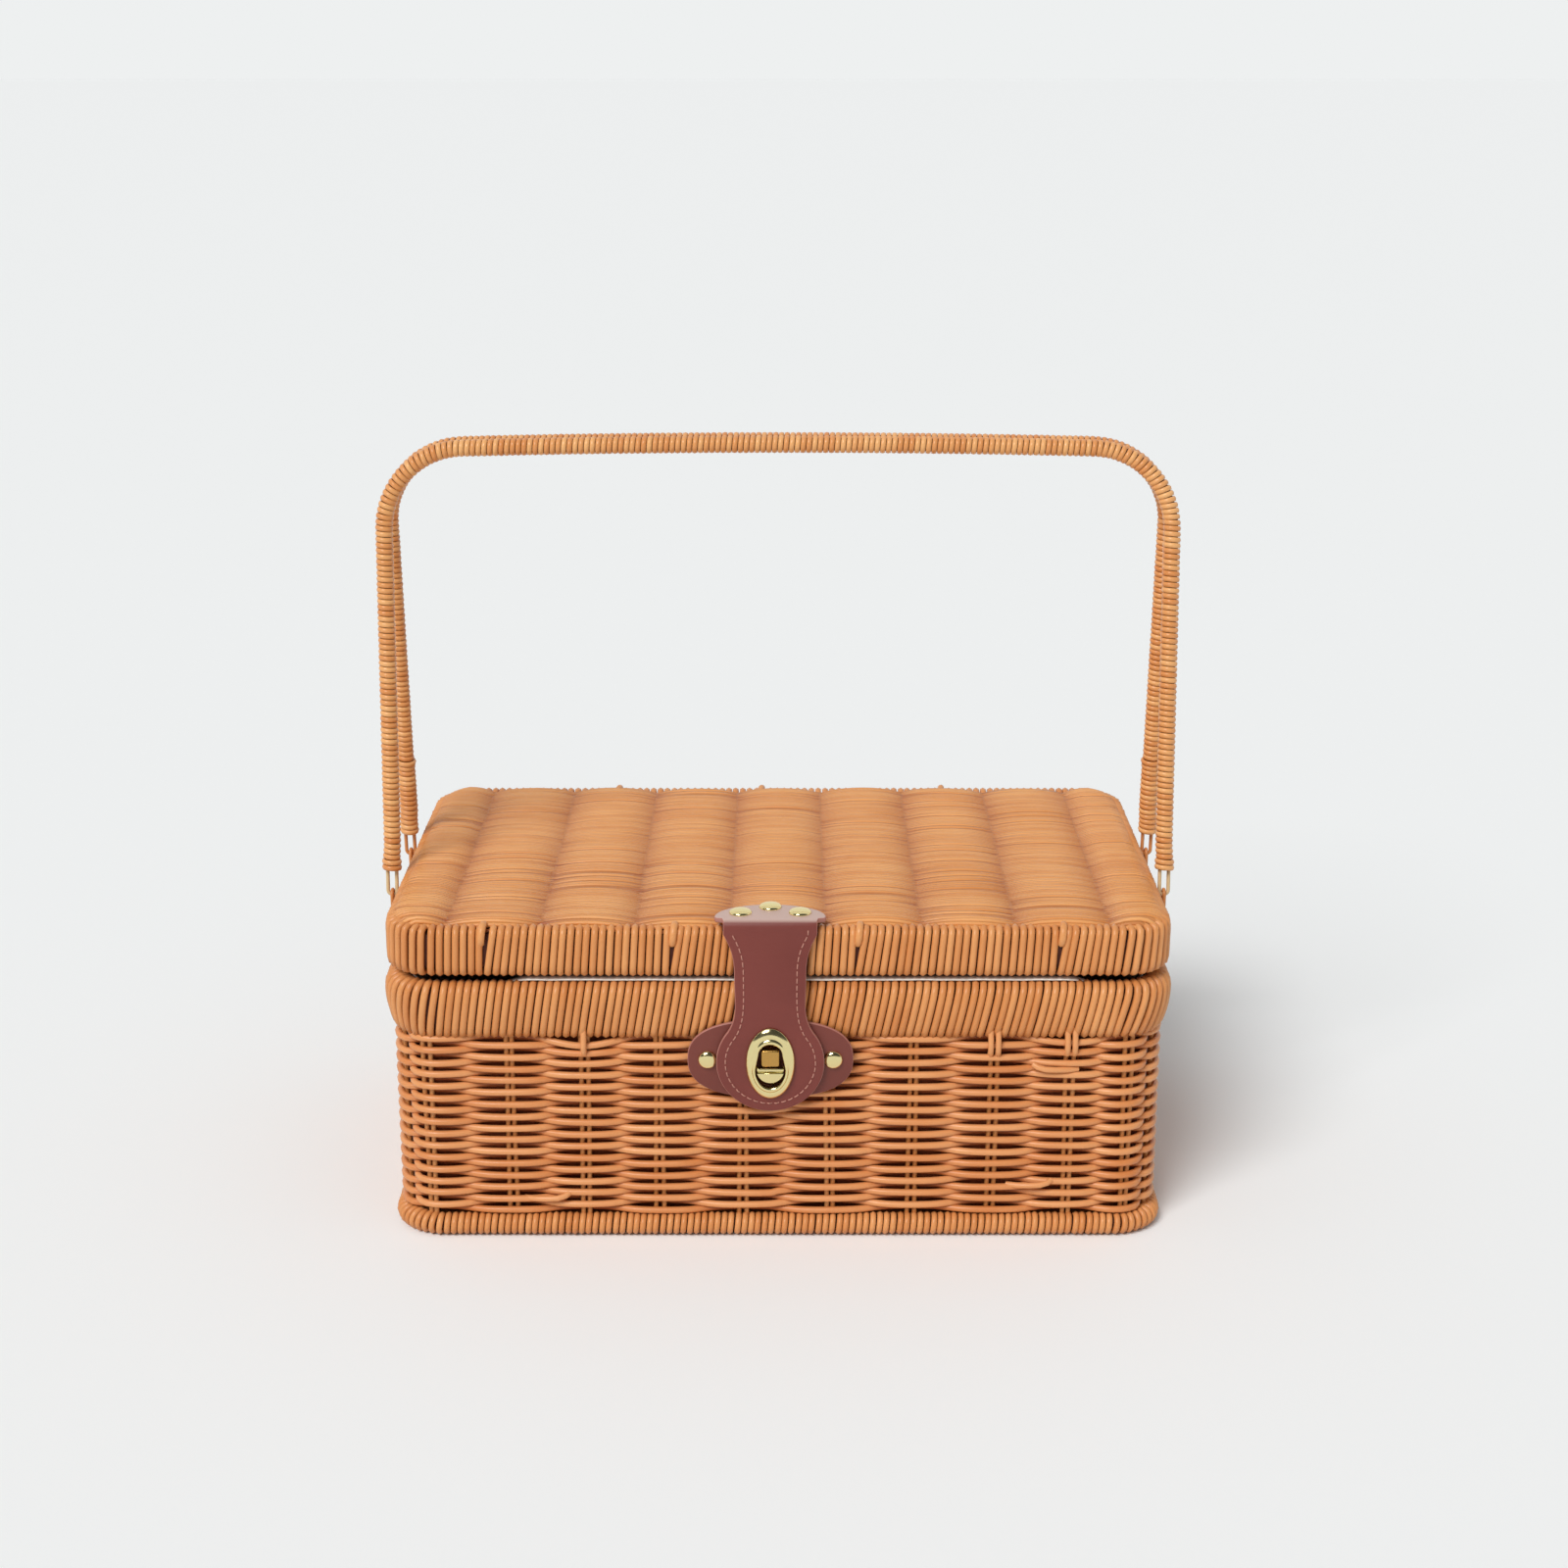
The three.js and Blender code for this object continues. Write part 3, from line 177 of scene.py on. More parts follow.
def leather_material(name, colour, worn):
    """Finished cowhide: a pebbled grain of about 1 mm, rubbed clouds, a paler cut edge, and a painted sheen
    where the strap lies flat on the lid and mirrors the room."""
    material, tree = new_material(name)
    place = node(tree, "TexCoord").outputs["Object"]
    cloud = node(tree, "TexNoise", {"Vector": place, "Scale": 28.0, "Detail": 3.0})
    pebble = node(tree, "TexVoronoi", {"Vector": place, "Scale": 900.0}, feature="DISTANCE_TO_EDGE")
    fine = node(tree, "TexNoise", {"Vector": place, "Scale": 1500.0, "Detail": 3.0})
    flange_sheen = node(tree, "Attribute", attribute_name="flange_sheen").outputs["Fac"]
    edge = node(tree, "Attribute", attribute_name="edge").outputs["Fac"]
    rubbed = node(tree, "MapRange", {"Value": cloud, "From Min": 0.3, "From Max": 0.75, "To Max": 0.45})
    height = node(tree, "Math", {0: pebble, 1: fine}, operation="ADD")
    # The greyer colour where the strap lies flat on the lid is a painted sheen
    layers = [(rubbed, srgb(worn)), (flange_sheen, srgb("#C8ABA0")), (edge, srgb("#AC7468"))]
    finish(tree, srgb(colour), layers, fine, (0.42, 0.56), (0.18, 0.0002), {"Specular IOR Level": 0.4},
           height)
    return material


# The handles and the lid are the palest cane, and the lid is the least glossy
# The third colour of each is painted shade, for where a strand lies deeper
CANE_WALL = cane_material("plastic rattan weave", "#E2A068", "#CC7C42", "#9A4820", 0.36)
CANE_STAKE = cane_material("plastic rattan stakes", "#E0A468", "#CA8444", "#86461A", 0.4)
CANE_WRAP = cane_material("plastic rattan wrapping", "#E09E62", "#CA7E42", "#803410", 0.36)
CANE_GRIP = cane_material("plastic rattan handle wrapping", "#E8AE70", "#D28648", "#86400F", 0.32)
CANE_LID = cane_material("plastic rattan lid weave", "#E8A867", "#D68B49", "#984819", 0.42)

# What is seen between the strands is dull and darker than they are, so that they stand out: it is painted
# shade.
# The cores under the wrappings are real, and painted dark as that shade
CORE_IN_PAINTED_SHADE = plain_material("rattan core in painted shade", "#4E2010", 0.7)
# The sheet behind the wall's weave stands only for shade: it is painted shade
PAINTED_SHADE_BEHIND = plain_material("painted shade behind the weave", "#8A4018", 0.75)

# Cane without its wrapping, bent into the front handle's links, is pale and bare
PALE_CORE = plain_material("pale rattan core", "#D6B88A", 0.5)

# Burgundy cowhide with a soft sheen. The patch is the same leather, a little darker than the strap over it as
# painted shade
LEATHER = leather_material("burgundy leather", "#71322A", "#843E35")
SHADED_LEATHER = leather_material("burgundy leather in painted shade", "#6E342A", "#804036")

# Waxed thread is dull, and paler than the leather that it holds
THREAD = plain_material("waxed rose thread", "#BA8272", 0.7, grain_scale=900.0)

# Pressed and polished brass is pale and mirrors the room. The post is tan and less bright than the plate
BRASS = plain_material("polished pale brass", "#ECDDA2", 0.14, 1.0, 120.0, 0.06, 0.00005)
GOLD = plain_material("tan brass", "#C79B55", 0.26, 1.0, 120.0, 0.08, 0.00005)

# Plain-woven cotton is matt and cream, with a thread of about 0.7 mm
COTTON = plain_material("cream cotton", "#F6F0E6", 0.95, 0.0, 1400.0, 0.12, 0.0004)


# Meshes

def add_object(name, data):
    made = bpy.data.objects.new(name, data)
    bpy.context.scene.collection.objects.link(made)
    return made


def store(mesh, name, values, kind="FLOAT"):
    """Keeps a number, or a vector where the kind says so, for each point of a mesh."""
    layer = mesh.attributes.new(name, kind, "POINT")
    key = "value" if kind == "FLOAT" else "vector"
    layer.data.foreach_set(key, np.asarray(values, dtype=np.float32).ravel())


def smooth(mesh):
    mesh.polygons.foreach_set("use_smooth", [True] * len(mesh.polygons))


def as_mesh(made):
    """What an object's curve or modifiers give, as a plain mesh."""
    bpy.context.view_layer.update()
    return bpy.data.meshes.new_from_object(made.evaluated_get(bpy.context.evaluated_depsgraph_get()))


def make_object(name, vertices, faces, material):
    """A smooth mesh object from points in mm and faces."""
    mesh = bpy.data.meshes.new(name)
    polygons = [tuple(int(i) for i in face) for face in faces]
    mesh.from_pydata((np.asarray(vertices) * MM).tolist(), [], polygons)
    smooth(mesh)
    mesh.materials.append(material)
    return add_object(name, mesh)


def hand_over(made, body, slot, *cad_nodes):
    """Hangs a piece on its body's empty, and hides the CAD nodes that it stands for. slot is not used."""
    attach(made, body)
    if cad_nodes:
        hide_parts(*cad_nodes)


def grid_faces(rows, columns, closed=True):
    """Faces between rings of points, a ring to a row. Where closed, the last joins the first."""
    ids = np.arange(rows * columns).reshape(rows, columns)
    down = np.roll(ids, -1, axis=0)
    faces = np.stack([ids, down, np.roll(down, -1, axis=1), np.roll(ids, -1, axis=1)], axis=-1)
    return (faces if closed else faces[:-1]).reshape(-1, 4)


def unit(v):
    return v / np.maximum(np.linalg.norm(v, axis=-1, keepdims=True), 1e-9)


def distances(line):
    """How far along a line each of its points lies."""
    return np.concatenate([[0], np.cumsum(np.linalg.norm(np.diff(line, axis=0), axis=1))])


# Geometry Nodes trees

def new_tree(name, inputs):
    """An empty tree with a geometry in and out and with named inputs, given as (name, kind) pairs."""
    tree = bpy.data.node_groups.new(name, "GeometryNodeTree")
    tree.interface.new_socket("Geometry", in_out="INPUT", socket_type="NodeSocketGeometry")
    for label, kind in inputs:
        tree.interface.new_socket(label, in_out="INPUT", socket_type="NodeSocket" + kind)
    tree.interface.new_socket("Geometry", in_out="OUTPUT", socket_type="NodeSocketGeometry")
    return tree, node(tree, "NodeGroupInput").outputs


def end_tree(tree, geometry, material):
    real = node(tree, "GeometryNodeRealizeInstances", {"Geometry": geometry})
    done = node(tree, "GeometryNodeSetMaterial", {"Geometry": real, "Material": material})
    node(tree, "NodeGroupOutput", {"Geometry": done})
    return tree


def strand_tree():
    """Turns a mesh's lines into strands. The points say how thick, and which way a side faces."""
    tree, given = new_tree("strands along lines", [("Sides", "Int"), ("Flatten", "Float"),
                                                   ("Material", "Material")])
    line = node(tree, "GeometryNodeMeshToCurve", {"Mesh": given["Geometry"]})
    way = node(tree, "GeometryNodeInputNamedAttribute", {"Name": "way"}, data_type="FLOAT_VECTOR")
    line = node(tree, "GeometryNodeSetCurveNormal", {"Curve": line, "Normal": way}, mode="FREE")
    half_step = node(tree, "Math", {0: math.pi, 1: given["Sides"]}, operation="DIVIDE")
    turn = node(tree, "CombineXYZ", {"Z": half_step})
    size = node(tree, "CombineXYZ", {"X": given["Flatten"], "Y": 1.0, "Z": 1.0})
    section = node(tree, "GeometryNodeCurvePrimitiveCircle", {"Resolution": given["Sides"], "Radius": 1.0})
    section = node(tree, "GeometryNodeTransform", {"Geometry": section, "Rotation": turn})
    section = node(tree, "GeometryNodeTransform", {"Geometry": section, "Scale": size})
    thick = node(tree, "GeometryNodeInputNamedAttribute", {"Name": "thick"}, data_type="FLOAT")
    sweep = node(tree, "GeometryNodeCurveToMesh", {
        "Curve": line, "Profile Curve": section, "Scale": thick, "Fill Caps": True})
    return end_tree(tree, sweep, given["Material"])


def rivet_tree():
    """Sets a rivet on every point of a mesh, with its head the way that the point says: a full, low dome
    above the leather, and a shank below it."""
    tree, given = new_tree("rivets on points", [("Radius", "Float"), ("Crown", "Float"), ("Shank", "Float"),
                                                ("Sides", "Int"), ("Rings", "Int"), ("Material", "Material")])
    ball = node(tree, "GeometryNodeMeshUVSphere", {
        "Segments": given["Sides"], "Rings": given["Rings"], "Radius": 1.0})
    place = node(tree, "SeparateXYZ", {0: node(tree, "GeometryNodeInputPosition")}).outputs
    flat = node(tree, "CombineXYZ", {"X": place["X"], "Y": place["Y"]})
    reach = node(tree, "VectorMath", {0: flat}, operation="LENGTH").outputs["Value"]
    values = []
    for value, steps in ((reach, (("MAXIMUM", 0.001), ("POWER", -0.2), ("MULTIPLY", given["Radius"]))),
                         (place["Z"], (("MAXIMUM", 0.0), ("POWER", 0.9), ("MULTIPLY", given["Crown"]))),
                         (place["Z"], (("MINIMUM", 0.0), ("MULTIPLY", given["Shank"])))):
        for operation, other in steps:
            value = node(tree, "Math", {0: value, 1: other}, operation=operation)
        values.append(value)
    wide, above, below = values
    outline = node(tree, "VectorMath", {0: flat, "Scale": wide}, operation="SCALE")
    lift = node(tree, "Math", {0: above, 1: below}, operation="ADD")
    lift = node(tree, "CombineXYZ", {"Z": lift})
    shape = node(tree, "VectorMath", {0: outline, 1: lift}, operation="ADD")
    head = node(tree, "GeometryNodeSetPosition", {"Geometry": ball, "Position": shape})
    way = node(tree, "GeometryNodeInputNamedAttribute", {"Name": "way"}, data_type="FLOAT_VECTOR")
    turn = node(tree, "FunctionNodeAlignRotationToVector", {"Vector": way}, axis="Z")
    points = node(tree, "GeometryNodeMeshToPoints", {"Mesh": given["Geometry"]})
    row = node(tree, "GeometryNodeInstanceOnPoints", {"Points": points, "Instance": head, "Rotation": turn})
    return end_tree(tree, row, given["Material"])


STRANDS = strand_tree()
RIVETS = rivet_tree()


def grow(made, tree, values):
    """Runs a tree on an object and keeps what it gives as a plain mesh. values are its inputs, by name."""
    modifier = made.modifiers.new("growth", "NODES")
    modifier.node_group = tree
    for item in tree.interface.items_tree:
        if item.name in values:
            modifier[item.identifier] = values[item.name]
    mesh = as_mesh(made)
    made.modifiers.clear()
    mesh.name = made.name
    for used in ("way", "thick", "custom_normal", "radius"):
        if used in mesh.attributes:
            mesh.attributes.remove(mesh.attributes[used])
    smooth(mesh)
    made.data = mesh


def strands(name, paths, refs, radius, material, values=None, sides=6, closed=False, flatten=1.0):
    """Strands along many paths at once, as one piece.

    paths and refs are (strand, point, xyz). A ref is any direction off the path, and flatten widens the
    strand along it. values are the numbers that the material reads, for each point or each strand.
    """
    paths = np.asarray(paths, dtype=float)
    shape = paths.shape[:2]
    if closed:
        along = unit(np.roll(paths, -1, axis=1) - np.roll(paths, 1, axis=1))
    else:
        along = unit(np.gradient(paths, axis=1))
    refs = np.broadcast_to(np.asarray(refs, dtype=float), paths.shape)
    way = unit(refs - (refs * along).sum(-1, keepdims=True) * along)
    ids = np.arange(shape[0] * shape[1]).reshape(shape)
    edges = np.stack([ids, np.roll(ids, -1, axis=1)], axis=-1)
    if not closed:
        edges = edges[:, :-1]
    mesh = bpy.data.meshes.new(name)
    mesh.from_pydata((paths.reshape(-1, 3) * MM).tolist(), edges.reshape(-1, 2).tolist(), [])
    store(mesh, "thick", np.broadcast_to(np.asarray(radius, dtype=float), shape) * MM)
    for key, numbers in (values or {}).items():
        store(mesh, key, np.broadcast_to(numbers, shape))
    store(mesh, "way", way, "FLOAT_VECTOR")
    made = add_object(name, mesh)
    grow(made, STRANDS, {"Sides": sides, "Flatten": flatten, "Material": material})
    return made


def tones(count, low=0.0, high=1.0):
    """One tone for each strand, as a column that spreads over its points."""
    return rng.uniform(low, high, count)[:, None]


# Paths round the basket

def perimeter(line):
    half_w, half_d, r = line
    return 4 * (half_w - r) + 4 * (half_d - r) + TURN * r


def round_path(s, line):
    """Points and outward directions at distances s along a rounded rectangle, from the front to +X."""
    half_w, half_d, r = line
    a = half_w - r
    b = half_d - r
    quarter = math.pi * r / 2
    s = np.mod(s, perimeter(line))
    # For each straight run its start, heading and length, and the middle and first angle of the arc after it
    runs = [((0, -half_d), (1, 0), a, (a, -b), -math.pi / 2),
            ((half_w, -b), (0, 1), 2 * b, (a, b), 0.0),
            ((a, half_d), (-1, 0), 2 * a, (-a, b), math.pi / 2),
            ((-half_w, b), (0, -1), 2 * b, (-a, -b), math.pi),
            ((-a, -half_d), (1, 0), a, None, None)]
    x, y, nx, ny = (np.zeros_like(s) for _ in range(4))
    low = 0.0
    for start, heading, length, centre, first in runs:
        here = (s >= low) & (s <= low + length)
        x[here] = start[0] + heading[0] * (s[here] - low)
        y[here] = start[1] + heading[1] * (s[here] - low)
        nx[here] = heading[1]
        ny[here] = -heading[0]
        low += length
        if centre:
            arc = (s > low) & (s < low + quarter)
            angle = first + (s[arc] - low) / r
            x[arc] = centre[0] + r * np.cos(angle)
            y[arc] = centre[1] + r * np.sin(angle)
            nx[arc] = np.cos(angle)
            ny[arc] = np.sin(angle)
            low += quarter
    return x, y, nx, ny


def beside(s, line, out, z):
    """Points at distances s along a line, moved outwards by out, at the heights z."""
    x, y, nx, ny = round_path(s, line)
    x = x + out * nx
    y = y + out * ny
    return np.stack([x, y, np.broadcast_to(z, x.shape)], axis=-1)


def from_middle(s, middle, total):
    """Distances round the basket from a place on it, negative before it."""
    return (s - middle + total / 2) % total - total / 2


def closed_spline(points, count):
    """A smooth closed curve through a few points, at even steps."""
    p = np.asarray(points, dtype=float)
    n = len(p)
    t = np.linspace(0, n, 40 * n, endpoint=False)
    i = t.astype(int)
    f = (t - i)[:, None]
    p0, p1, p2, p3 = (p[(i + k) % n] for k in (-1, 0, 1, 2))
    fine = 0.5 * (2 * p1 + (p2 - p0) * f + (2 * p0 - 5 * p1 + 4 * p2 - p3) * f ** 2
                  + (3 * p1 - p0 - 3 * p2 + p3) * f ** 3)
    closed = np.vstack([fine, fine[:1]])
    run = distances(closed)
    want = np.linspace(0, run[-1], count, endpoint=False)
    return np.stack([np.interp(want, run, closed[:, k]) for k in range(2)], axis=1)


HOOP_STEPS = 160


def hoop(name, line, section, material, body, slot):
    """A closed section, as [outwards, up], carried round a rounded rectangle."""
    section = np.asarray(section, dtype=float)
    s = np.linspace(0, perimeter(line), HOOP_STEPS, endpoint=False)[:, None]
    rings = beside(s, line, section[:, 0], section[:, 1])
    made = make_object(name, rings.reshape(-1, 3), grid_faces(HOOP_STEPS, len(section)), material)
    hand_over(made, body, slot)


# Woven wall

FRONT_STAKES = [-179, -137, -99, -61, -18, 26.5, 69, 110, 149, 179]   # pairs on the front, as in the photo
SIDE_STAKES = [-103, -62, -21, 21, 62, 103]
STAKE_RADIUS = 1.3
STAKE_APART = 1.75                     # of each stake from the middle of its pair
ROWS = 30
STRAND = 1.84
SWING = 2.6                            # of a strand, to either side of the stakes
FULLNESS = 1.4                         # the higher, the flatter a strand runs over the stakes
WALL_STEPS = 340
DIPS = {-99: 3.6, 149: 2.0}            # where the rim's ties pull the first rows down, and how far
DIP_WIDTH = 17
DIP_SHARE = 0.62                       # of a row's dip that the row below it has
TIES = [-98.6, 108.1, 111.9, 147.1, 150.9]
TIE_RADIUS = 1.55


def stake_places(line):
    """Distances along the line at which the pairs of stakes stand, in order round the basket."""
    half_w, half_d, r = line
    a = half_w - r
    b = half_d - r
    quarter = math.pi * r / 2

    def along(value, half):
        over = abs(value) - half
        bend = 0 if over <= 0 else r * math.asin(min(over / r, 1)) - over
        return value + math.copysign(bend, value)

    front = [along(x, a) for x in FRONT_STAKES]
    side = [along(y, b) for y in SIDE_STAKES]
    right = a + quarter + b
    back = right + b + quarter + a
    left = back + a + quarter + b
    places = front + [right + y for y in side]
    places += [back - x for x in reversed(front)] + [left + y for y in side]
    return np.sort(np.mod(places, perimeter(line)))


def woven_wall():
    """Strands that pass outside one pair of stakes and inside the next, and the other way in the next row."""
    places = stake_places(STAKE_LINE)
    total = perimeter(STAKE_LINE)
    s = np.linspace(0, total, WALL_STEPS, endpoint=False)
    knots = np.concatenate([places - total, places, places + total])
    wave = np.cos(np.pi * np.interp(s, knots, np.arange(len(knots))))
    pitch = (WALL_HIGH - WALL_LOW) / ROWS
    paths = []
    painted_shade = []
    for row in range(ROWS):
        turn = 1 if row % 2 == 0 else -1
        swing = SWING * np.tanh(FULLNESS * turn * wave) / math.tanh(FULLNESS)
        wander = 0.22 * np.sin(s / rng.uniform(28, 60) + rng.uniform(0, 6))
        wander += 0.15 * np.sin(s / 11 + rng.uniform(0, 6))
        for place, dip in DIPS.items():
            near = from_middle(s, place, total) / DIP_WIDTH
            wander -= dip * DIP_SHARE ** (ROWS - 1 - row) * np.exp(-near ** 2)
        paths.append(beside(s, STAKE_LINE, swing, WALL_LOW + (row + 0.5) * pitch + wander))
        # Painted shade: a strand is browner where it swings inside the stakes
        painted_shade.append(0.8 * np.clip(0.15 - swing / SWING, 0, 1))
    made = strands("wall_weavers", paths, (0, 0, 1), STRAND, CANE_WALL,
                   {"tone": tones(ROWS, 0.15, 0.85), "painted_shade": painted_shade}, sides=7, closed=True)
    hand_over(made, "base", "cane_weave", "basket_wall")

    levels = np.linspace(WALL_LOW - 3, WALL_HIGH + 4, 2 * ROWS + 4)
    stakes = []
    for place in places:
        for side in (-STAKE_APART, STAKE_APART):
            x, y, nx, ny = round_path(np.full(len(levels), place + side), STAKE_LINE)
            sway = rng.uniform(-0.6, 0.6) * np.sin(levels / 30 + side)
            stakes.append(np.stack([x - ny * sway, y + nx * sway, levels], axis=1))
    # The stakes get a little painted shade all along
    made = strands("wall_stakes", stakes, (0.7, 0.7, 0), STAKE_RADIUS, CANE_STAKE,
                   {"tone": tones(len(stakes)), "painted_shade": 0.15})
    hand_over(made, "base", "cane_weave")


def wall_extras():
    """A sheet of painted shade behind the weave, the strands that tie the rim to it, and the loose ends of
    three weavers.
    """
    behind = [(-5.2, WALL_LOW - 2), (-4.8, WALL_LOW - 2), (-4.8, WALL_HIGH + 2), (-5.2, WALL_HIGH + 2)]
    hoop("wall_painted_shade", STAKE_LINE, behind, PAINTED_SHADE_BEHIND, "base", "cane_weave")

    out = np.array([3.6, 4.4, 5.5, 5.9, 5.3, 3.6, 1.2])
    level = np.array([116, 112.4, 109.4, 106.4, 103.4, 101.4, 100.4])
    ties = [beside(np.full(len(out), place), STAKE_LINE, out, level) for place in TIES]

    back = np.array([23, 17, 11, 6, 2, 0])
    out = np.array([1.5, 4.0, 5.3, 5.4, 4.6, 3.2])
    rise = np.array([-1.2, -0.8, -0.3, 0, 0.9, 2.0])
    ends = [beside(place - way * back, STAKE_LINE, out, level + rise)
            for place, level, way in ((-108, 21.5, 1), (130, 93.5, -1), (141, 29, 1))]

    for name, paths in (("rim_ties", ties), ("weaver_ends", ends)):
        made = strands(name, paths, (0.1, 1.0, 0.2), TIE_RADIUS, CANE_WALL, {"tone": 0.75, "painted_shade": 0.0},
                       sides=8)
        hand_over(made, "base", "cane_weave")


# Wrapped rails

WRAP_SHIFT = 0.1                       # how far strands stray along the rail, and off it
WRAP_LIFT = 0.08
# How fast the painted shade at a rail's bottom fades as its strands rise
WRAP_SHADE = 18
RAIL_PITCH = 4.05
RIM_PROFILE = [(1.0, 111.9), (2.2, 114.4), (3.5, 118.6), (4.6, 123.8), (5.1, 129), (5.0, 133.4), (3.9, 136.6),
               (1.6, 138.4), (-1.8, 138.6), (-4.1, 137.2), (-5.1, 133), (-5.1, 126), (-5.1, 118),
               (-4.2, 113.4), (-1.6, 111.9)]
LID_PROFILE = [(4.2, 146.2), (4.65, 150), (4.65, 158), (4.6, 165), (3.9, 168), (1.8, 168.6), (-1, 168.4),
               (-3.4, 166.8), (-4.6, 163), (-4.6, 156), (-4.6, 150), (-3.6, 146.4), (-1, 145.2), (2, 145.2)]
LID_KNOTS = [-150, -54, 39, 141]       # where the lid's wrapping starts afresh, on the front and on the back
BACK_KNOTS = [-98, 8, 92]
FOOT_STRAND = 1.7


def wrapped(name, line, profile, pitch, strand, lean, core, body, cad_node, points=22, from_foot=False):
    """A rail wrapped with strands side by side, over a core painted dark as the shade between them.

    profile is the middle line of a strand round the rail, as [outwards, up] points. lean(s) is how far a
    strand moves along the rail for each mm that it rises, and core is the core's share of the profile.
    """
    loop = closed_spline(profile, points)
    out, level = loop[:, 0], loop[:, 1]
    total = perimeter(line)
    count = int(round(total / pitch))
    start = np.arange(count) * total / count + rng.normal(0, WRAP_SHIFT, count)
    foot = level.min() if from_foot else level.mean()
    paths = np.zeros((count, points, 3))
    refs = np.zeros((count, points, 3))
    for i in range(count):
        s = start[i] + lean(start[i]) * (level - foot)
        nx, ny = round_path(s, line)[2:]
        paths[i] = beside(s, line, out + rng.normal(0, WRAP_LIFT), level)
        refs[i] = np.stack([-ny, nx, np.zeros(points)], axis=1)
    # Painted shade: the strands are browner near the bottom of the rail
    painted_shade = np.clip(0.25 - (level - level.min()) / WRAP_SHADE, 0, 0.25)
    made = strands(name, paths, refs, strand, CANE_WRAP, {"tone": tones(count, 0.2, 0.8), "painted_shade": painted_shade},
                   closed=True)
    hand_over(made, body, "cane_wrap", cad_node)

    inner = loop[::2]
    centre = inner.mean(axis=0)
    hoop(name + "_core", line, centre + (inner - centre) * core, CORE_IN_PAINTED_SHADE, body, "cane_wrap")


def rim_lean(s):
    return 0.17 + 0.03 * math.sin(s / 90)


def lid_lean(s):
    """Strands lean most just after a knot and stand straighter towards the next one."""
    s = from_middle(s, 0, perimeter(LID_MIDDLE))
    past = [s - knot for knot in LID_KNOTS if s >= knot]
    return 0.04 + 0.13 * math.exp(-min(past) / 45) if past else 0.04


def foot_lean(s):
    return 0.12


def rails():
    wrapped("rim_wrapping", WALL_MIDDLE, RIM_PROFILE, RAIL_PITCH, 1.96, rim_lean, 0.84, "base", "rim_band")
    wrapped("lid_wrapping", LID_MIDDLE, LID_PROFILE, RAIL_PITCH, 1.93, lid_lean, 0.8, "lid", "lid_band",
            from_foot=True)


def lid_knots():
    """A short strand over the top of the lid's band at each place where its wrapping starts afresh."""
    out = np.array([-3.0, 0.5, 3.6, 5.4, 6.1, 5.7, 4.0])
    level = np.array([169.0, 170.4, 169.9, 167.9, 165.4, 163, 161.4])
    shift = 1.2 + np.linspace(1.4, -0.2, len(out))
    back = [perimeter(LID_MIDDLE) / 2 + x for x in BACK_KNOTS]
    paths = [beside(knot + shift, LID_MIDDLE, out, level) for knot in LID_KNOTS + back]
    made = strands("lid_knots", paths, (1.0, 0.1, 0.0), 1.95, CANE_WRAP, {"tone": 0.8, "painted_shade": 0.0}, sides=8)
    hand_over(made, "lid", "cane_wrap")


def foot_roll():
    r = FOOT_RADIUS - FOOT_STRAND
    middle = FOOT_RADIUS - FOOT_FLAT + 0.25
    profile = [(r * math.cos(a), middle + (r - 0.2) * math.sin(a))
               for a in np.linspace(0, TURN, 10, endpoint=False)]
    wrapped("foot_wrapping", WALL_MIDDLE, profile, 3.5, FOOT_STRAND, foot_lean, 0.72, "base", "foot_roll",
            points=14)


# Handles

GRIP_STRAND = 0.86
GRIP_FLATTEN = 1.74                    # the strand is that much wider than thick
GRIP_PITCH = 2.95
GRIP_POINTS = 14
FIRST_WRAPS = 6.5                      # up to here from its end, a leg is thicker
SECOND_WRAP = 45.0                     # up to here the rear handle's legs are wrapped twice
LINK_HALF = 2.35                       # half the width of a link's bend, and of an eye's
EYE_HALF = 2.65


def bow_line():
    """Middle line of a handle in its own frame, from the left foot over the grip to the right foot."""
    bend_z = REACH - GRIP_BOW - GRIP_CORNER
    bend_x = LEG_X - GRIP_CORNER
    right = [(LINK_X, LINK_LENGTH), (LINK_X, LINK_LENGTH + 7), (LEG_X, LINK_LENGTH + 14)]
    right += [(LEG_X, z) for z in np.linspace(LINK_LENGTH + 20, bend_z, 30)]
    right += [(bend_x + GRIP_CORNER * math.cos(a), bend_z + GRIP_CORNER * math.sin(a))
              for a in np.linspace(0, math.pi / 2, 16)[1:]]
    right += [(bend_x * (1 - t), REACH - GRIP_BOW * (1 - t) ** 2) for t in np.linspace(0, 1, 20)[1:]]
    left = [(-x, z) for x, z in right[:-1]]
    return np.array(left + right[::-1])


def tilted(points, side):
    """From a handle's own frame to the basket's: leaned in and set on its pivot. side is -1 for the front."""
    lean = math.asin((PIVOT[0] - GRIP_Y) / REACH)
    p = np.asarray(points, dtype=float)
    y = p[..., 1] * math.cos(lean) - side * p[..., 2] * math.sin(lean)
    z = p[..., 2] * math.cos(lean) + side * p[..., 1] * math.sin(lean)
    return np.stack([p[..., 0], y + side * PIVOT[0], z + PIVOT[1]], axis=-1)


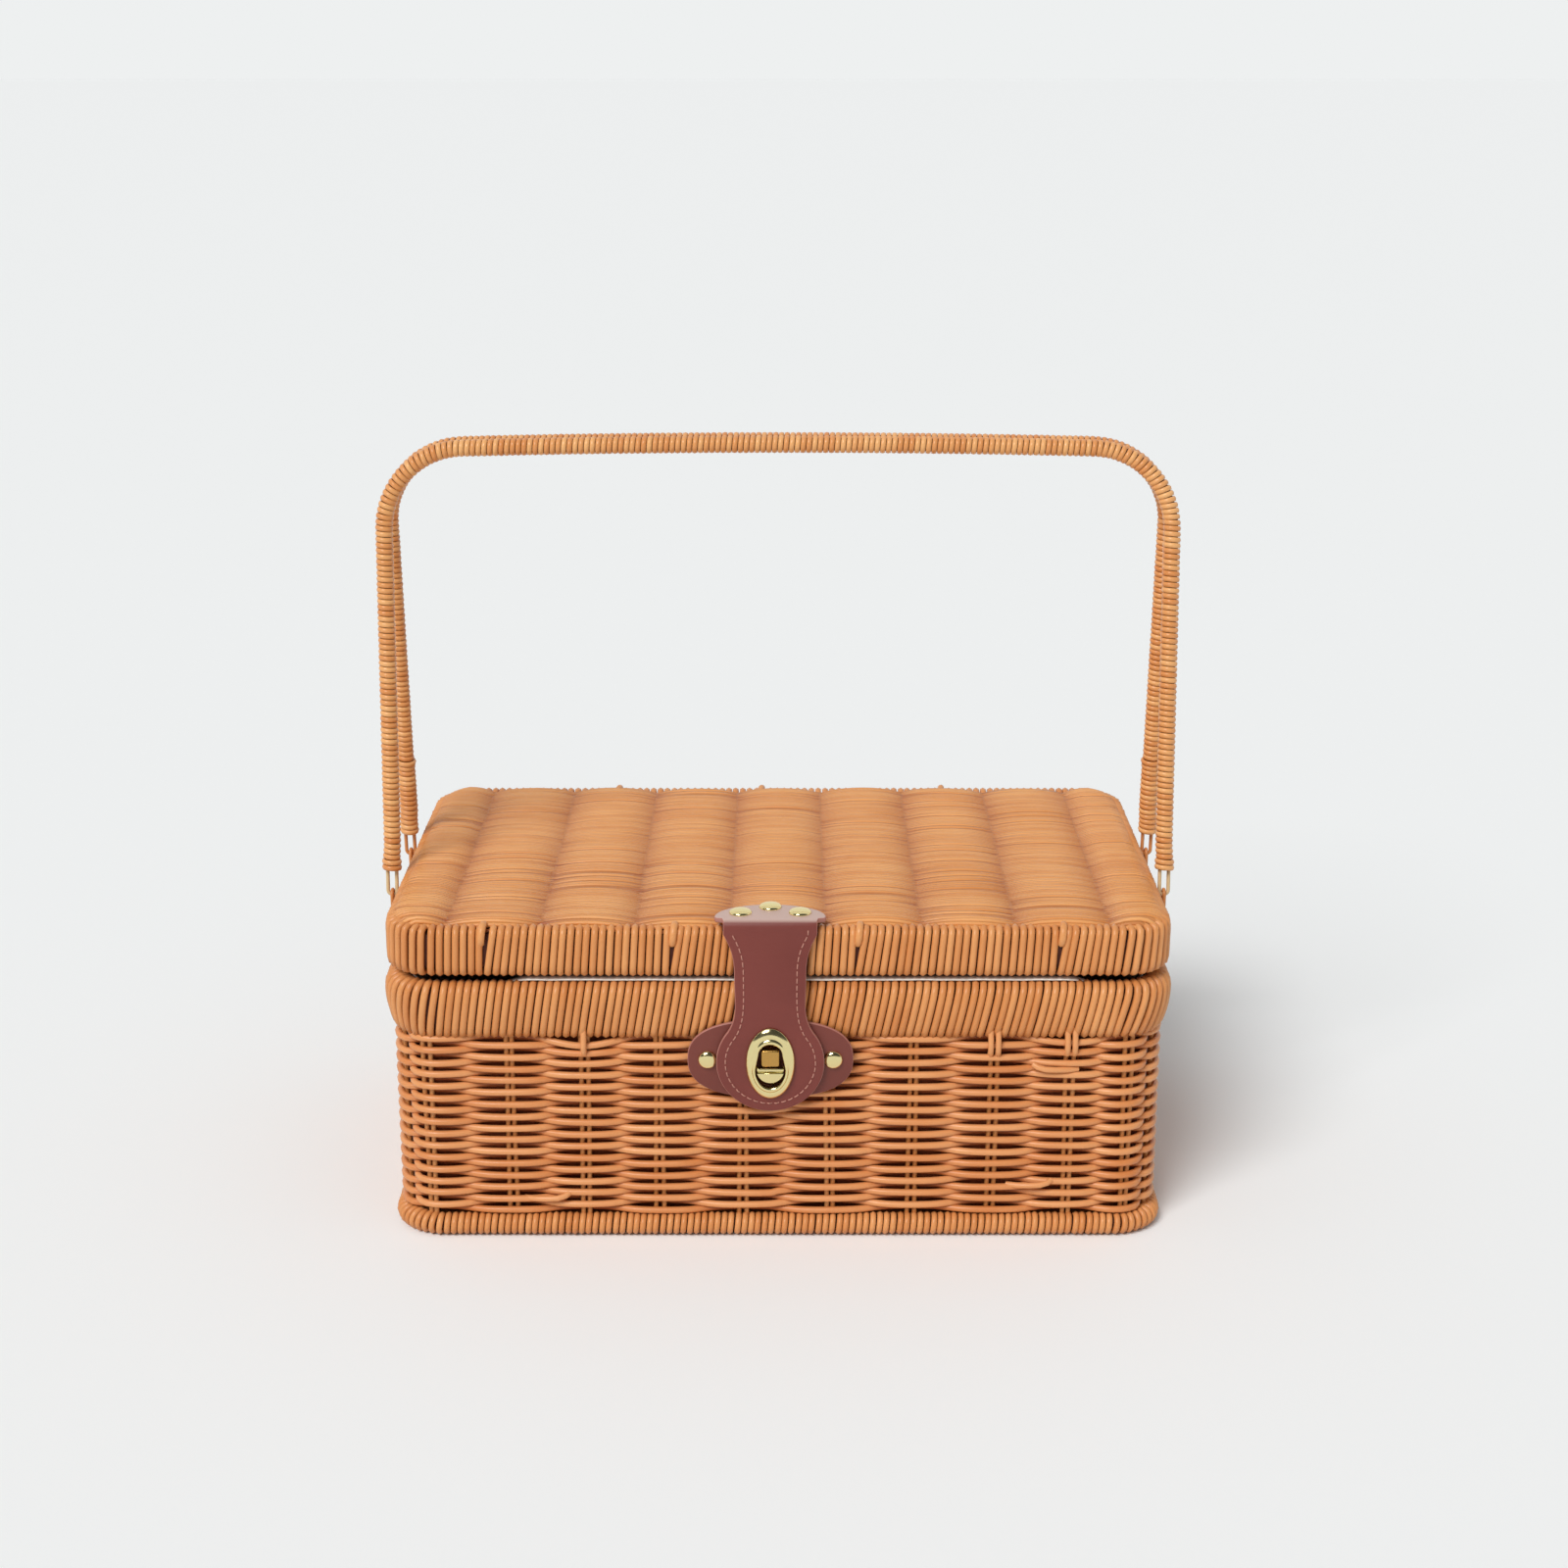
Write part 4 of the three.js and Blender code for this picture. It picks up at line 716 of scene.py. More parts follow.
def handle(name, side):
    """A handle's bow with its wrapping, its two links, and the two eyes that the links turn in."""
    line = bow_line()
    run = distances(line)

    def at(place):
        return np.array([np.interp(place, run, line[:, 0]), 0, np.interp(place, run, line[:, 1])])

    count = int(run[-1] / GRIP_PITCH)
    turn = np.linspace(0, TURN, GRIP_POINTS, endpoint=False)
    paths = np.zeros((count, GRIP_POINTS, 3))
    refs = np.zeros((count, GRIP_POINTS, 3))
    for i, place in enumerate((np.arange(count) + 0.5) * run[-1] / count):
        ahead = unit(at(place + 1) - at(place - 1))
        across = np.cross(ahead, (0, 1, 0))
        end = min(place, run[-1] - place)
        radius = HANDLE_RADIUS - GRIP_STRAND + rng.normal(0, 0.03)
        if end < FIRST_WRAPS:
            radius += 0.55
        elif side > 0 and end < SECOND_WRAP:
            radius += 0.9 if end > SECOND_WRAP - 4 else 0.4
        wave = 0.42 * np.sin(turn + 0.4)
        paths[i] = (at(place) + radius * np.cos(turn)[:, None] * np.array([0, 1, 0])
                    + radius * np.sin(turn)[:, None] * across + wave[:, None] * ahead)
        refs[i] = ahead
    refs = tilted(refs, side) - tilted(np.zeros(3), side)
    made = strands(name + "_wrapping", tilted(paths, side), refs, GRIP_STRAND, CANE_GRIP,
                   {"tone": tones(count), "painted_shade": 0.0}, closed=True, flatten=GRIP_FLATTEN)
    hand_over(made, name, "cane_handle", name + "_bow")

    # The handle's core is painted dark as the shade between its wraps
    core = [[(x, 0, z) for x, z in line]]
    made = strands(name + "_core", tilted(core, side), (0, 1, 0), HANDLE_RADIUS - 1.4, CORE_IN_PAINTED_SHADE, sides=12)
    hand_over(made, name, "cane_handle")
    for hand, label in ((-1, "left"), (1, "right")):
        handle_link(name, side, hand, label)
        handle_eye(name, side, hand, label)


def handle_link(name, side, hand, label):
    """The bare core under a leg, bent into a narrow U round its eye."""
    top = LINK_LENGTH + 3
    link = [(LINK_HALF, z) for z in np.linspace(top, LINK_HALF, 8)]
    link += [(LINK_HALF * math.cos(a), LINK_HALF + LINK_HALF * math.sin(a))
             for a in np.linspace(0, -math.pi, 13)[1:-1]]
    link += [(-LINK_HALF, z) for z in np.linspace(LINK_HALF, top, 8)]
    path = [[(hand * LINK_X + x, 0, z) for x, z in link]]
    # A little painted shade all along the link
    made = strands(f"{name}_link_{label}_cane", tilted(path, side), (0, 1, 0), 1.0,
                   PALE_CORE if side < 0 else CANE_WRAP, {"tone": 0.5, "painted_shade": 0.15}, sides=10)
    hand_over(made, name, "cane_wrap", f"{name}_link_{label}")


def handle_eye(name, side, hand, label):
    """A bent cane that comes out of the rim, rises beside the lid, and goes over the pivot and back."""
    leg = [(EYE_RIM_X - 4, -28), (EYE_RIM_X + 1.0, -28), (EYE_RIM_X + 2.6, -27.2), (EYE_RIM_X + 3.6, -25.2)]
    leg += [(LINK_X, z) for z in np.linspace(-22, -1, 8)]
    eye = [(x, -EYE_HALF, z) for x, z in leg]
    eye += [(LINK_X, EYE_HALF * math.sin(a), EYE_HALF * math.cos(a))
            for a in np.linspace(-math.pi / 2, math.pi / 2, 11)]
    eye += [(x, EYE_HALF, z) for x, z in reversed(leg)]
    path = [[(hand * x, y + side * PIVOT[0], z + PIVOT[1]) for x, y, z in eye]]
    # A little painted shade all along the eye
    made = strands(f"{name}_eye_{label}_cane", path, (1.0, 0.25, 0.4), 0.95, CANE_WRAP,
                   {"tone": 0.4, "painted_shade": 0.15}, sides=10)
    hand_over(made, "base", "cane_wrap", f"{name}_eye_{label}")


# Lid top

LID_ROW = 1.26
LID_STRAND = 1.42
LID_STEPS = 100
LID_SWING = 1.2
PILLOW = 2.1                           # height of the soft rise of a column
RAIL_SHARE = 0.45                      # of the outermost column's width, where the weave climbs onto the rail
EDGE_WIDTH = 8.0                       # of the border that dips under the rail
EDGE_DROP = (3.0, 3.6)                 # how far it dips, at the front and at the back
LOOSE_SHARE = 0.12                     # of the strands' passes over a rib lie low


def lid_top():
    """Fine strands packed so closely that only the ones that pass over a rib show in its column."""
    half_w, half_d = PANEL_HALF
    rows = int(2 * half_d / LID_ROW)
    reach = (COLUMNS - 2) / 2 * COLUMN_PITCH
    middles = np.arange(-(COLUMNS // 2) - 1, COLUMNS // 2 + 2)
    paths = np.zeros((rows, LID_STEPS, 3))
    painted_shade = np.zeros((rows, LID_STEPS))
    radius = np.zeros((rows, LID_STEPS))
    for row in range(rows):
        y = -half_d + (row + 0.5) * 2 * half_d / rows
        inset = max(0.0, abs(y) - (half_d - PANEL_CORNER))
        end = half_w - PANEL_CORNER + math.sqrt(max(PANEL_CORNER ** 2 - inset ** 2, 0))
        x = np.linspace(-end, end, LID_STEPS)
        outer = np.abs(x) > reach
        past = (np.abs(x) - reach) / (half_w - reach)
        phase = np.where(outer, np.sign(x) * (reach + past * COLUMN_PITCH), x) / COLUMN_PITCH
        turn = 1 if row % 2 == 0 else -1
        wave = np.cos(np.pi * phase) * turn
        share = np.tanh(1.6 * wave) / math.tanh(1.6)
        under = (1 - share) / 2
        climb = np.sin(np.clip(past / RAIL_SHARE, 0, 1) * np.pi / 2) ** 0.8 * 1.25
        pillow = np.where(outer, climb, np.abs(np.cos(np.pi * phase)) ** 0.7)
        edge = np.minimum(end - np.abs(x), half_d - abs(y))
        drop = EDGE_DROP[1 if y > 0 else 0] * np.clip(1 - edge / EDGE_WIDTH, 0, 1) ** 2
        shift = np.interp(phase, middles, rng.normal(0, 0.17, len(middles)))
        shift += 0.9 * np.sin(x / 31 + y / 19) + 0.5 * np.sin(x / 13 + y / 37)
        loose = np.interp(phase, middles, np.where(rng.random(len(middles)) < LOOSE_SHARE, 1.0, 0.0))
        paths[row, :, 0] = x
        paths[row, :, 1] = y + shift
        paths[row, :, 2] = PANEL_TOP - LID_STRAND - PILLOW * (1 - pillow) - 1.5 * LID_SWING * under - drop
        paths[row, :, 2] -= 0.7 * loose * np.clip(share, 0, 1)
        # Painted shade: browner where a strand passes under a rib, where it lies loose and low, and in the
        # dips between the columns
        painted_shade[row] = np.clip(0.75 * under + 0.5 * loose + 0.15 * (1 - pillow), 0, 1)
        radius[row] = LID_STRAND * (0.9 + 0.1 * share)
    made = strands("lid_weave", paths, (0, 0, 1), radius, CANE_LID,
                   {"tone": tones(rows, 0.1, 0.9), "painted_shade": painted_shade}, sides=5)
    hand_over(made, "lid", "cane_weave", "lid_panel")


# Leather

STRAP_THICKNESS = 2.6
STRAP_EDGE = 0.7                       # radius of the rounded edge
STRAP_BULB = 27.4                      # radius of the round foot, and half widths above it
STRAP_NECK = 18.0
STRAP_HEAD = 23.5
STRAP_HANG = 20.8                      # up to here the strap lies flat on the latch's back plate
STRAP_JOIN = math.radians(38)          # where the foot's arc ends
SEAM_INSET = 4.6
NECK_UP = 148 - LATCH_Z
TOP_UP = FLEX[1] - LATCH_Z
BEND_RADIUS = 1.2                      # of the strap's back, over the lid's front edge
BEND_UP = ROOT_LOW - BEND_RADIUS - LATCH_Z
BEND_RUN = (BEND_RADIUS + STRAP_THICKNESS / 2) * math.pi / 2
FLANGE_UP = BEND_UP + BEND_RUN         # from here it lies flat on the lid
FLANGE_LENGTH = 22.0
FLANGE_HALF = 28.0
STITCH = 2.3
STITCH_GAP = 1.3
STITCH_HEIGHT = 0.3


def latch_place(points):
    """From the latch's frame, x right, y up along the patch and z out of it, to the basket's."""
    p = np.asarray(points, dtype=float)
    c = math.cos(math.pi / 2 + LATCH_TILT)
    s = math.sin(math.pi / 2 + LATCH_TILT)
    y = p[..., 1] * c - p[..., 2] * s
    z = p[..., 1] * s + p[..., 2] * c
    return np.stack([p[..., 0] + LATCH_X, y + LATCH_Y, z + LATCH_Z], axis=-1)


def sheet_piece(name, outline, thickness, edge, place, material, holes=(), levels=()):
    """A flat piece from its outline, with rounded edges, cut across at levels so that it can bend.

    place takes flat points (x, y, height over the back) and returns their place in the basket.
    """
    curve = bpy.data.curves.new(name, "CURVE")
    curve.dimensions = "2D"
    curve.fill_mode = "BOTH"
    curve.extrude = thickness / 2 - edge
    curve.bevel_depth = edge
    curve.bevel_resolution = 3
    curve.offset = -edge
    for loop in [outline, *holes]:
        spline = curve.splines.new("POLY")
        spline.points.add(len(loop) - 1)
        for point, (x, y) in zip(spline.points, loop):
            point.co = (x, y, 0, 1)
        spline.use_cyclic_u = True
    flat = add_object(name + "_flat", curve)
    mesh = as_mesh(flat)
    bpy.data.objects.remove(flat)

    bm = bmesh.new()
    bm.from_mesh(mesh)
    bmesh.ops.remove_doubles(bm, verts=bm.verts, dist=0.002)
    for level in levels:
        geometry = bm.verts[:] + bm.edges[:] + bm.faces[:]
        bmesh.ops.bisect_plane(bm, geom=geometry, plane_co=(0, level, 0), plane_no=(0, 1, 0))
    bmesh.ops.triangulate(bm, faces=[f for f in bm.faces if len(f.verts) > 4])
    bmesh.ops.recalc_face_normals(bm, faces=bm.faces)
    top = thickness / 2
    points = np.array([v.co[:] for v in bm.verts])
    on_edge = np.abs(points[:, 2]) < top - 0.2 * edge
    # A painted sheen on the part of the strap that lies flat on the lid
    sheen_on_flange = np.clip((points[:, 1] - BEND_UP - BEND_RUN / 2) / BEND_RUN * 4, 0, 1)
    points[:, 2] += top
    for v, p in zip(bm.verts, place(points)):
        v.co = Vector(p) * MM
    bm.normal_update()
    bm.to_mesh(mesh)
    bm.free()
    store(mesh, "edge", on_edge)
    store(mesh, "flange_sheen", sheen_on_flange)
    mesh.materials.clear()
    mesh.materials.append(material)
    smooth(mesh)
    return add_object(name, mesh)


def bezier(a, b, c, d, count):
    t = np.linspace(0, 1, count)[:, None]
    a, b, c, d = (np.array(p, dtype=float) for p in (a, b, c, d))
    return (1 - t) ** 3 * a + 3 * (1 - t) ** 2 * t * b + 3 * (1 - t) * t ** 2 * c + t ** 3 * d


def strap_outline(inset=0.0):
    """The strap from the lid's edge round its foot and back, open at the top and moved in by inset."""
    neck = STRAP_NECK - inset
    head = STRAP_HEAD - inset
    bulb = STRAP_BULB - inset
    join = (bulb * math.cos(STRAP_JOIN), bulb * math.sin(STRAP_JOIN))
    before_join = (join[0] - 9 * math.sin(STRAP_JOIN), join[1] + 9)
    upper = bezier((head, TOP_UP), (neck + 1.5, TOP_UP - 7), (neck, TOP_UP - 12), (neck, NECK_UP), 12)
    lower = bezier((neck, NECK_UP), (neck, NECK_UP - 14), before_join, join, 14)
    right = np.vstack([upper, lower[1:]])
    arc = [(bulb * math.cos(a), bulb * math.sin(a))
           for a in np.linspace(STRAP_JOIN, -math.pi - STRAP_JOIN, 60)[1:-1]]
    left = [(-x, y) for x, y in right[::-1]]
    return [tuple(p) for p in right] + arc + left


def flange_outline():
    """The riveted end on top of the lid, a little wider than the strap, from its left corner to its right."""
    shoulder = FLANGE_UP + 1.0
    left = [(-STRAP_HEAD, FLANGE_UP - 1.5), (-STRAP_HEAD - 0.8, shoulder),
            (-FLANGE_HALF + 0.8, shoulder + 0.5)]
    curve = [(-FLANGE_HALF * math.cos(a), shoulder + 2.5 + (FLANGE_LENGTH - 3.5) * math.sin(a))
             for a in np.linspace(0, math.pi, 36)]
    return left + curve + [(-x, y) for x, y in reversed(left)]


def strap_place(points):
    """Bends the flat strap: flat on the latch's back plate, up past the hinge line, and over onto the lid."""
    p = np.asarray(points, dtype=float)
    up = p[:, 1]
    lower = latch_place(np.stack([p[:, 0], up, STRAP_BACK + p[:, 2]], axis=1))
    ease = np.clip((up - 20) / (TOP_UP - 20), 0, 1)
    ease = ease * ease * (3 - 2 * ease)
    out = p[:, 2] - STRAP_THICKNESS / 2
    upper = np.stack([p[:, 0] + LATCH_X, FLEX[0] - out, LATCH_Z + up], axis=1)
    hang = latch_place((0.0, STRAP_HANG, STRAP_BACK + STRAP_THICKNESS / 2))
    share = np.clip((TOP_UP - up) / (TOP_UP - STRAP_HANG), 0, 1)
    upper[:, 1] += (hang[1] - FLEX[0]) * share
    placed = lower * (1 - ease)[:, None] + upper * ease[:, None]
    angle = np.clip(up - BEND_UP, 0, BEND_RUN) / BEND_RUN * math.pi / 2
    reach = BEND_RADIUS + p[:, 2]
    over = up > BEND_UP
    placed[over, 1] = (ROOT_Y - reach * np.cos(angle) + np.clip(up - FLANGE_UP, 0, None))[over]
    placed[over, 2] = (LATCH_Z + BEND_UP + reach * np.sin(angle))[over]
    return placed


def stitches(name, line, place):
    """Stitches along a line of flat points, as short threads that dip into the leather at both ends."""
    line = np.asarray(line, dtype=float)
    run = distances(line)
    step = STITCH + STITCH_GAP
    rise = STITCH_HEIGHT - np.array([0.55, 0.1, 0.0, 0.1, 0.55])
    paths = []
    for i in range(int(run[-1] / step)):
        start = i * step + STITCH_GAP / 2
        at = np.linspace(start, start + STITCH, len(rise))
        x, y = (np.interp(at, run, line[:, k]) for k in range(2))
        paths.append(place(np.stack([x, y, STRAP_THICKNESS + rise], axis=1)))
    return strands(name, paths, (1.0, 0.1, 0.0), 0.34, THREAD)


def leather_parts():
    """The patch behind the latch, and the strap with its seam. The strap bends where it leaves the lid."""
    share = 2 / 2.5                    # makes the patch fuller than an ellipse
    outline = [(PATCH_HALF[0] * math.copysign(abs(math.cos(a)) ** share, math.cos(a)),
                PATCH_HALF[1] * math.copysign(abs(math.sin(a)) ** share, math.sin(a)))
               for a in np.linspace(0, TURN, 96, endpoint=False)]
    patch = sheet_piece("patch_leather", outline, PATCH_THICKNESS, STRAP_EDGE, latch_place, SHADED_LEATHER)
    hand_over(patch, "base", "leather", "leather_patch")

    levels = [*np.linspace(-24, TOP_UP - 1, 26), *np.linspace(TOP_UP + 1, FLANGE_UP + 0.4, 9)]
    strap = sheet_piece("strap_leather", flange_outline() + strap_outline(), STRAP_THICKNESS, STRAP_EDGE,
                        strap_place, LEATHER, [window_outline(1.0)], levels)
    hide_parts("strap_flap", "strap_root")
    inner = strap_outline(SEAM_INSET)
    seam_line = [(inner[0][0], BEND_UP - 0.5), *inner, (inner[-1][0], BEND_UP - 0.5)]
    seam = stitches("strap_stitches", seam_line, strap_place)
    for piece in (strap, seam):
        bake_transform(piece)


# Brass

RIVET_SHANK = 2.0
RIVET_SIDES = 48
RIVET_RINGS = 36
PLATE_SIDES = 96
CATCH_HALF = 6.95
CATCH_EDGE = 0.45
MOON_MIDDLE = -2.4
MOON_DEPTH = 7.3


def window_outline(margin=0.0, count=40):
    """The window in the oval plate: a round arch on top of a wider half oval."""
    arch_r = 5.95 + margin
    bowl_r = 7.65 + margin
    bowl_depth = 10.1 + margin
    arch = [(arch_r * math.cos(a), 5.85 + arch_r * math.sin(a)) for a in np.linspace(0, math.pi, count // 2)]
    bowl = [(bowl_r * math.cos(a), -2.6 + bowl_depth * math.sin(a))
            for a in np.linspace(math.pi, TURN, count // 2)]
    return arch + bowl


def moon_outline(top):
    """The lower part of the window, from a straight top edge down."""
    start = math.asin(max(MOON_MIDDLE - top, 0) / MOON_DEPTH)
    moon = [(CATCH_HALF * math.cos(a), MOON_MIDDLE + MOON_DEPTH * math.sin(a))
            for a in np.linspace(-start, -math.pi + start, 30)]
    return moon if start > 0 else [(CATCH_HALF, top), *moon, (-CATCH_HALF, top)]


def rivets(name, centres, way, radius, crown, body, *cad_nodes):
    """Round-headed brass rivets with their heads on the leather, facing along way."""
    mesh = bpy.data.meshes.new(name)
    mesh.from_pydata((np.asarray(centres) * MM).tolist(), [], [])
    store(mesh, "way", np.tile(way, len(centres)), "FLOAT_VECTOR")
    made = add_object(name, mesh)
    grow(made, RIVETS, {"Radius": radius * MM, "Crown": crown * MM, "Shank": RIVET_SHANK * MM,
                        "Sides": RIVET_SIDES, "Rings": RIVET_RINGS, "Material": BRASS})
    hand_over(made, body, "brass", *cad_nodes)


def block(name, width, height, low, high, corner, edge, middle, body, material, *cad_nodes):
    """A block that stands over the patch from low to high, with round corners and edges."""
    outline = []
    for across, up, start in ((1, -1, -90), (1, 1, 0), (-1, 1, 90), (-1, -1, 180)):
        for a in np.radians(np.linspace(start, start + 90, 7)):
            outline.append((across * (width / 2 - corner) + corner * math.cos(a),
                            middle + up * (height / 2 - corner) + corner * math.sin(a)))
    made = sheet_piece(name, outline, high - low, edge, lambda p: latch_place(p + (0, 0, low)), material)
    hand_over(made, body, "brass", *cad_nodes)


def latch_plate():
    """An oval dome with a raised bezel round its window."""
    turn = np.linspace(0, TURN, PLATE_SIDES, endpoint=False)
    oval = np.stack([PLATE_HALF[0] * np.cos(turn), PLATE_HALF[1] * np.sin(turn)], axis=1)
    dense = np.array(window_outline(count=400))
    angles = np.mod(np.arctan2(dense[:, 1], dense[:, 0]), TURN)
    order = np.argsort(angles)
    want = np.mod(np.arctan2(oval[:, 1], oval[:, 0]), TURN)
    window = [np.interp(want, angles[order], dense[order, k], period=TURN) for k in range(2)]
    window = np.stack(window, axis=1)
    # Share of the way from the rim to the window, and height over the plate's back
    profile = [(0.0, 0.0), (0.0, 0.35), (0.02, 0.75), (0.07, 1.15), (0.16, 1.7), (0.3, 2.25), (0.44, 2.6),
               (0.54, 2.68), (0.59, 2.45), (0.64, 2.55), (0.7, 3.05), (0.78, 3.4), (0.88, 3.42), (0.96, 3.2),
               (1.0, 2.7), (1.0, 0.0)]
    rings = [np.concatenate([oval * (1 - t) + window * t, np.full((PLATE_SIDES, 1), PLATE_BACK + h)], axis=1)
             for t, h in profile]
    faces = grid_faces(len(rings), PLATE_SIDES)[:, [0, 3, 2, 1]]
    plate = make_object("latch_plate_brass", latch_place(np.concatenate(rings)), faces, BRASS)
    hand_over(plate, "strap", "brass", "latch_plate")


def on_plate(points):
    return latch_place(points + (0, 0, PLATE_BACK + 0.35))


def brass_parts():
    way = latch_place((0, 0, 1)) - latch_place((0, 0, 0))
    centres = latch_place([(x, 0, PATCH_THICKNESS + 0.1) for x in (-31.8, 31.8)])
    rivets("patch_rivet_heads", centres, way, 4.9, 2.5, "base", "patch_rivet_left", "patch_rivet_right")
    centres = [(LATCH_X + x, ROOT_Y + y, ROOT_HIGH + 0.1) for x, y in ((-15, 9), (0, 17.5), (15, 9))]
    rivets("strap_rivet_heads", centres, (0, 0, 1), 5.7, 2.2, "lid",
           "strap_rivet_left", "strap_rivet_middle", "strap_rivet_right")
    latch_plate()
    block("latch_post_brass", 9.3, 9.4, PATCH_THICKNESS + 0.3, PLATE_TOP + 0.1, 1.4, 1.1, 4.1, "base", GOLD,
          "latch_post")

    # Thumb catch: a half-moon base with a lower, thicker half-moon face on it, and a ledge above the face
    base = sheet_piece("thumb_catch_brass", moon_outline(-1.2), 1.3, CATCH_EDGE, on_plate, BRASS)
    hand_over(base, "catch", "brass", "thumb_catch")
    face = sheet_piece("thumb_catch_face", moon_outline(-4.2), 2.9, CATCH_EDGE, on_plate, BRASS)
    hand_over(face, "catch", "brass")
    block("thumb_catch_ledge", 13.6, 1.7, PLATE_BACK + 0.6, PLATE_TOP + 0.35, 0.7, 0.55, -2.05, "catch",
          BRASS)


# Hinge loops, lining, and the CAD nodes that stay

LOOP_RADIUS = 9.8
LOOP_STEPS = 40
LINER_LINE = (186.4, 110.4, 14.0)      # inside the rim, with room for its thickness
LINER_FLOOR = 9.4
LINER_STEPS = 420
LINER_THICKNESS = 0.6
LINER_SHOWS = (-134, 155)              # where its edge reaches the front of the gap under the lid
LINER_HEM = 6.0                        # turned out over the rim
HEM_SHOWS = 3.4                        # more of it where it shows
HEM_HIDDEN = 5.4                       # less of it on the rest of the front, and how far it drops there
HEM_DROP = 4.6
HEM_EASE = 9


def hinge_loops():
    turn = np.linspace(0, TURN, LOOP_STEPS, endpoint=False)
    y = HINGE[0] + LOOP_RADIUS * np.cos(turn)
    z = HINGE[1] + LOOP_RADIUS * np.sin(turn)
    for label, x in (("left", -HINGE_SPREAD), ("right", HINGE_SPREAD)):
        ring = np.stack([np.full(LOOP_STEPS, x), y, z], axis=1)
        # A little painted shade all along the loop
        made = strands(f"hinge_loop_{label}_cane", [ring], (1, 0, 0), 1.4, CANE_WRAP,
                       {"tone": 0.5, "painted_shade": 0.1}, sides=12, closed=True)
        hand_over(made, "base", "cane_wrap", f"hinge_loop_{label}")


def stretch(around, low, high):
    """1 between low and high, and 0 outside, with a gradual change at both ends."""
    rise = np.clip((around - low + HEM_EASE) / (2 * HEM_EASE), 0, 1)
    fall = np.clip((high + HEM_EASE - around) / (2 * HEM_EASE), 0, 1)
    share = np.minimum(rise, fall)
    return share * share * (3 - 2 * share)


def liner():
    """Cotton lining: a sewn tray with loose walls, its hem turned over the rim, notched at the hinges."""
    half_w, half_d, _ = LINER_LINE
    total = perimeter(LINER_LINE)
    s = np.linspace(0, total, LINER_STEPS, endpoint=False)
    x, y, nx, ny = round_path(s, LINER_LINE)
    around = from_middle(s, 0, total)
    shows = stretch(around, *LINER_SHOWS)
    hidden = stretch(around, -half_w - HEM_EASE, half_w + HEM_EASE) - shows
    ripple = 0.5 * np.sin(s / 5.1) + 0.35 * np.sin(s / 2.3 + 1.0)
    hem = LINER_HEM + HEM_SHOWS * shows - HEM_HIDDEN * hidden + 0.4 * ripple
    for spread in (-HINGE_SPREAD, HINGE_SPREAD):
        hem = np.where(np.abs(from_middle(s, total / 2 - spread, total)) < 3.2, 0.3, hem)

    # Rings as (outwards, up): over the floor and round its corner, up the wall, and out over the rim
    rings = [(-inset, LINER_FLOOR + rise) for inset, rise in (
        (96, 0), (60, 0), (24, 0), (9, 0), (6.5, 0.25), (4.2, 1.1), (2.4, 2.5), (1.1, 4.6), (0.4, 7.5))]
    for level in np.linspace(LINER_FLOOR + 16, RIM_TOP - 7, 8):
        slack = 0.7 * math.sin(math.pi * (level - LINER_FLOOR) / (RIM_TOP - LINER_FLOOR))
        rings.append((-slack * (0.5 + 0.5 * np.sin(s / 17 + 0.8 * math.sin(level / 30))), level))
    edge = RIM_TOP - HEM_DROP * hidden
    rings += [(0.25, edge + 0.1), (0.4 * hem, edge + 0.8 + 0.1 * ripple), (hem, edge + 0.9 + 0.3 * ripple)]
    points = []
    for out, level in rings:
        inwards = np.clip(-np.asarray(out), 0, None)
        outwards = np.clip(out, 0, None)
        ring_x = x * (half_w - inwards) / half_w + outwards * nx
        ring_y = y * (half_d - inwards) / half_d + outwards * ny
        points.append(np.stack([ring_x, ring_y, np.broadcast_to(level, s.shape)], axis=1))
    faces = [*grid_faces(len(rings), LINER_STEPS, closed=False), range(LINER_STEPS)]
    made = make_object("liner_cloth", np.concatenate(points), faces, COTTON)
    thick = made.modifiers.new("thickness", "SOLIDIFY")
    thick.thickness = LINER_THICKNESS * MM
    thick.offset = 0
    made.data = as_mesh(made)
    made.modifiers.clear()
    hand_over(made, "base", "cotton", "cotton_liner")


def kept_nodes():
    """The CAD nodes that show as they are get a finish."""
    finishes = {"floor_panel": CANE_WALL, "latch_back_plate": BRASS}
    finishes.update({f"lid_rib_{i}": CANE_WALL for i in range(1, COLUMNS + 1)})
    for name, material in finishes.items():
        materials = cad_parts[name].data.materials
        materials.clear()
        materials.append(material)


# Camera, floor and light

CAMERA_UP = math.radians(16.69)
CAMERA_AIM = (3.1, 0.0, 208.5)
CAMERA_AWAY = 1368.0
FLOOR_HALF = 30000
WHITE = (1.0, 1.0, 1.0, 1.0)


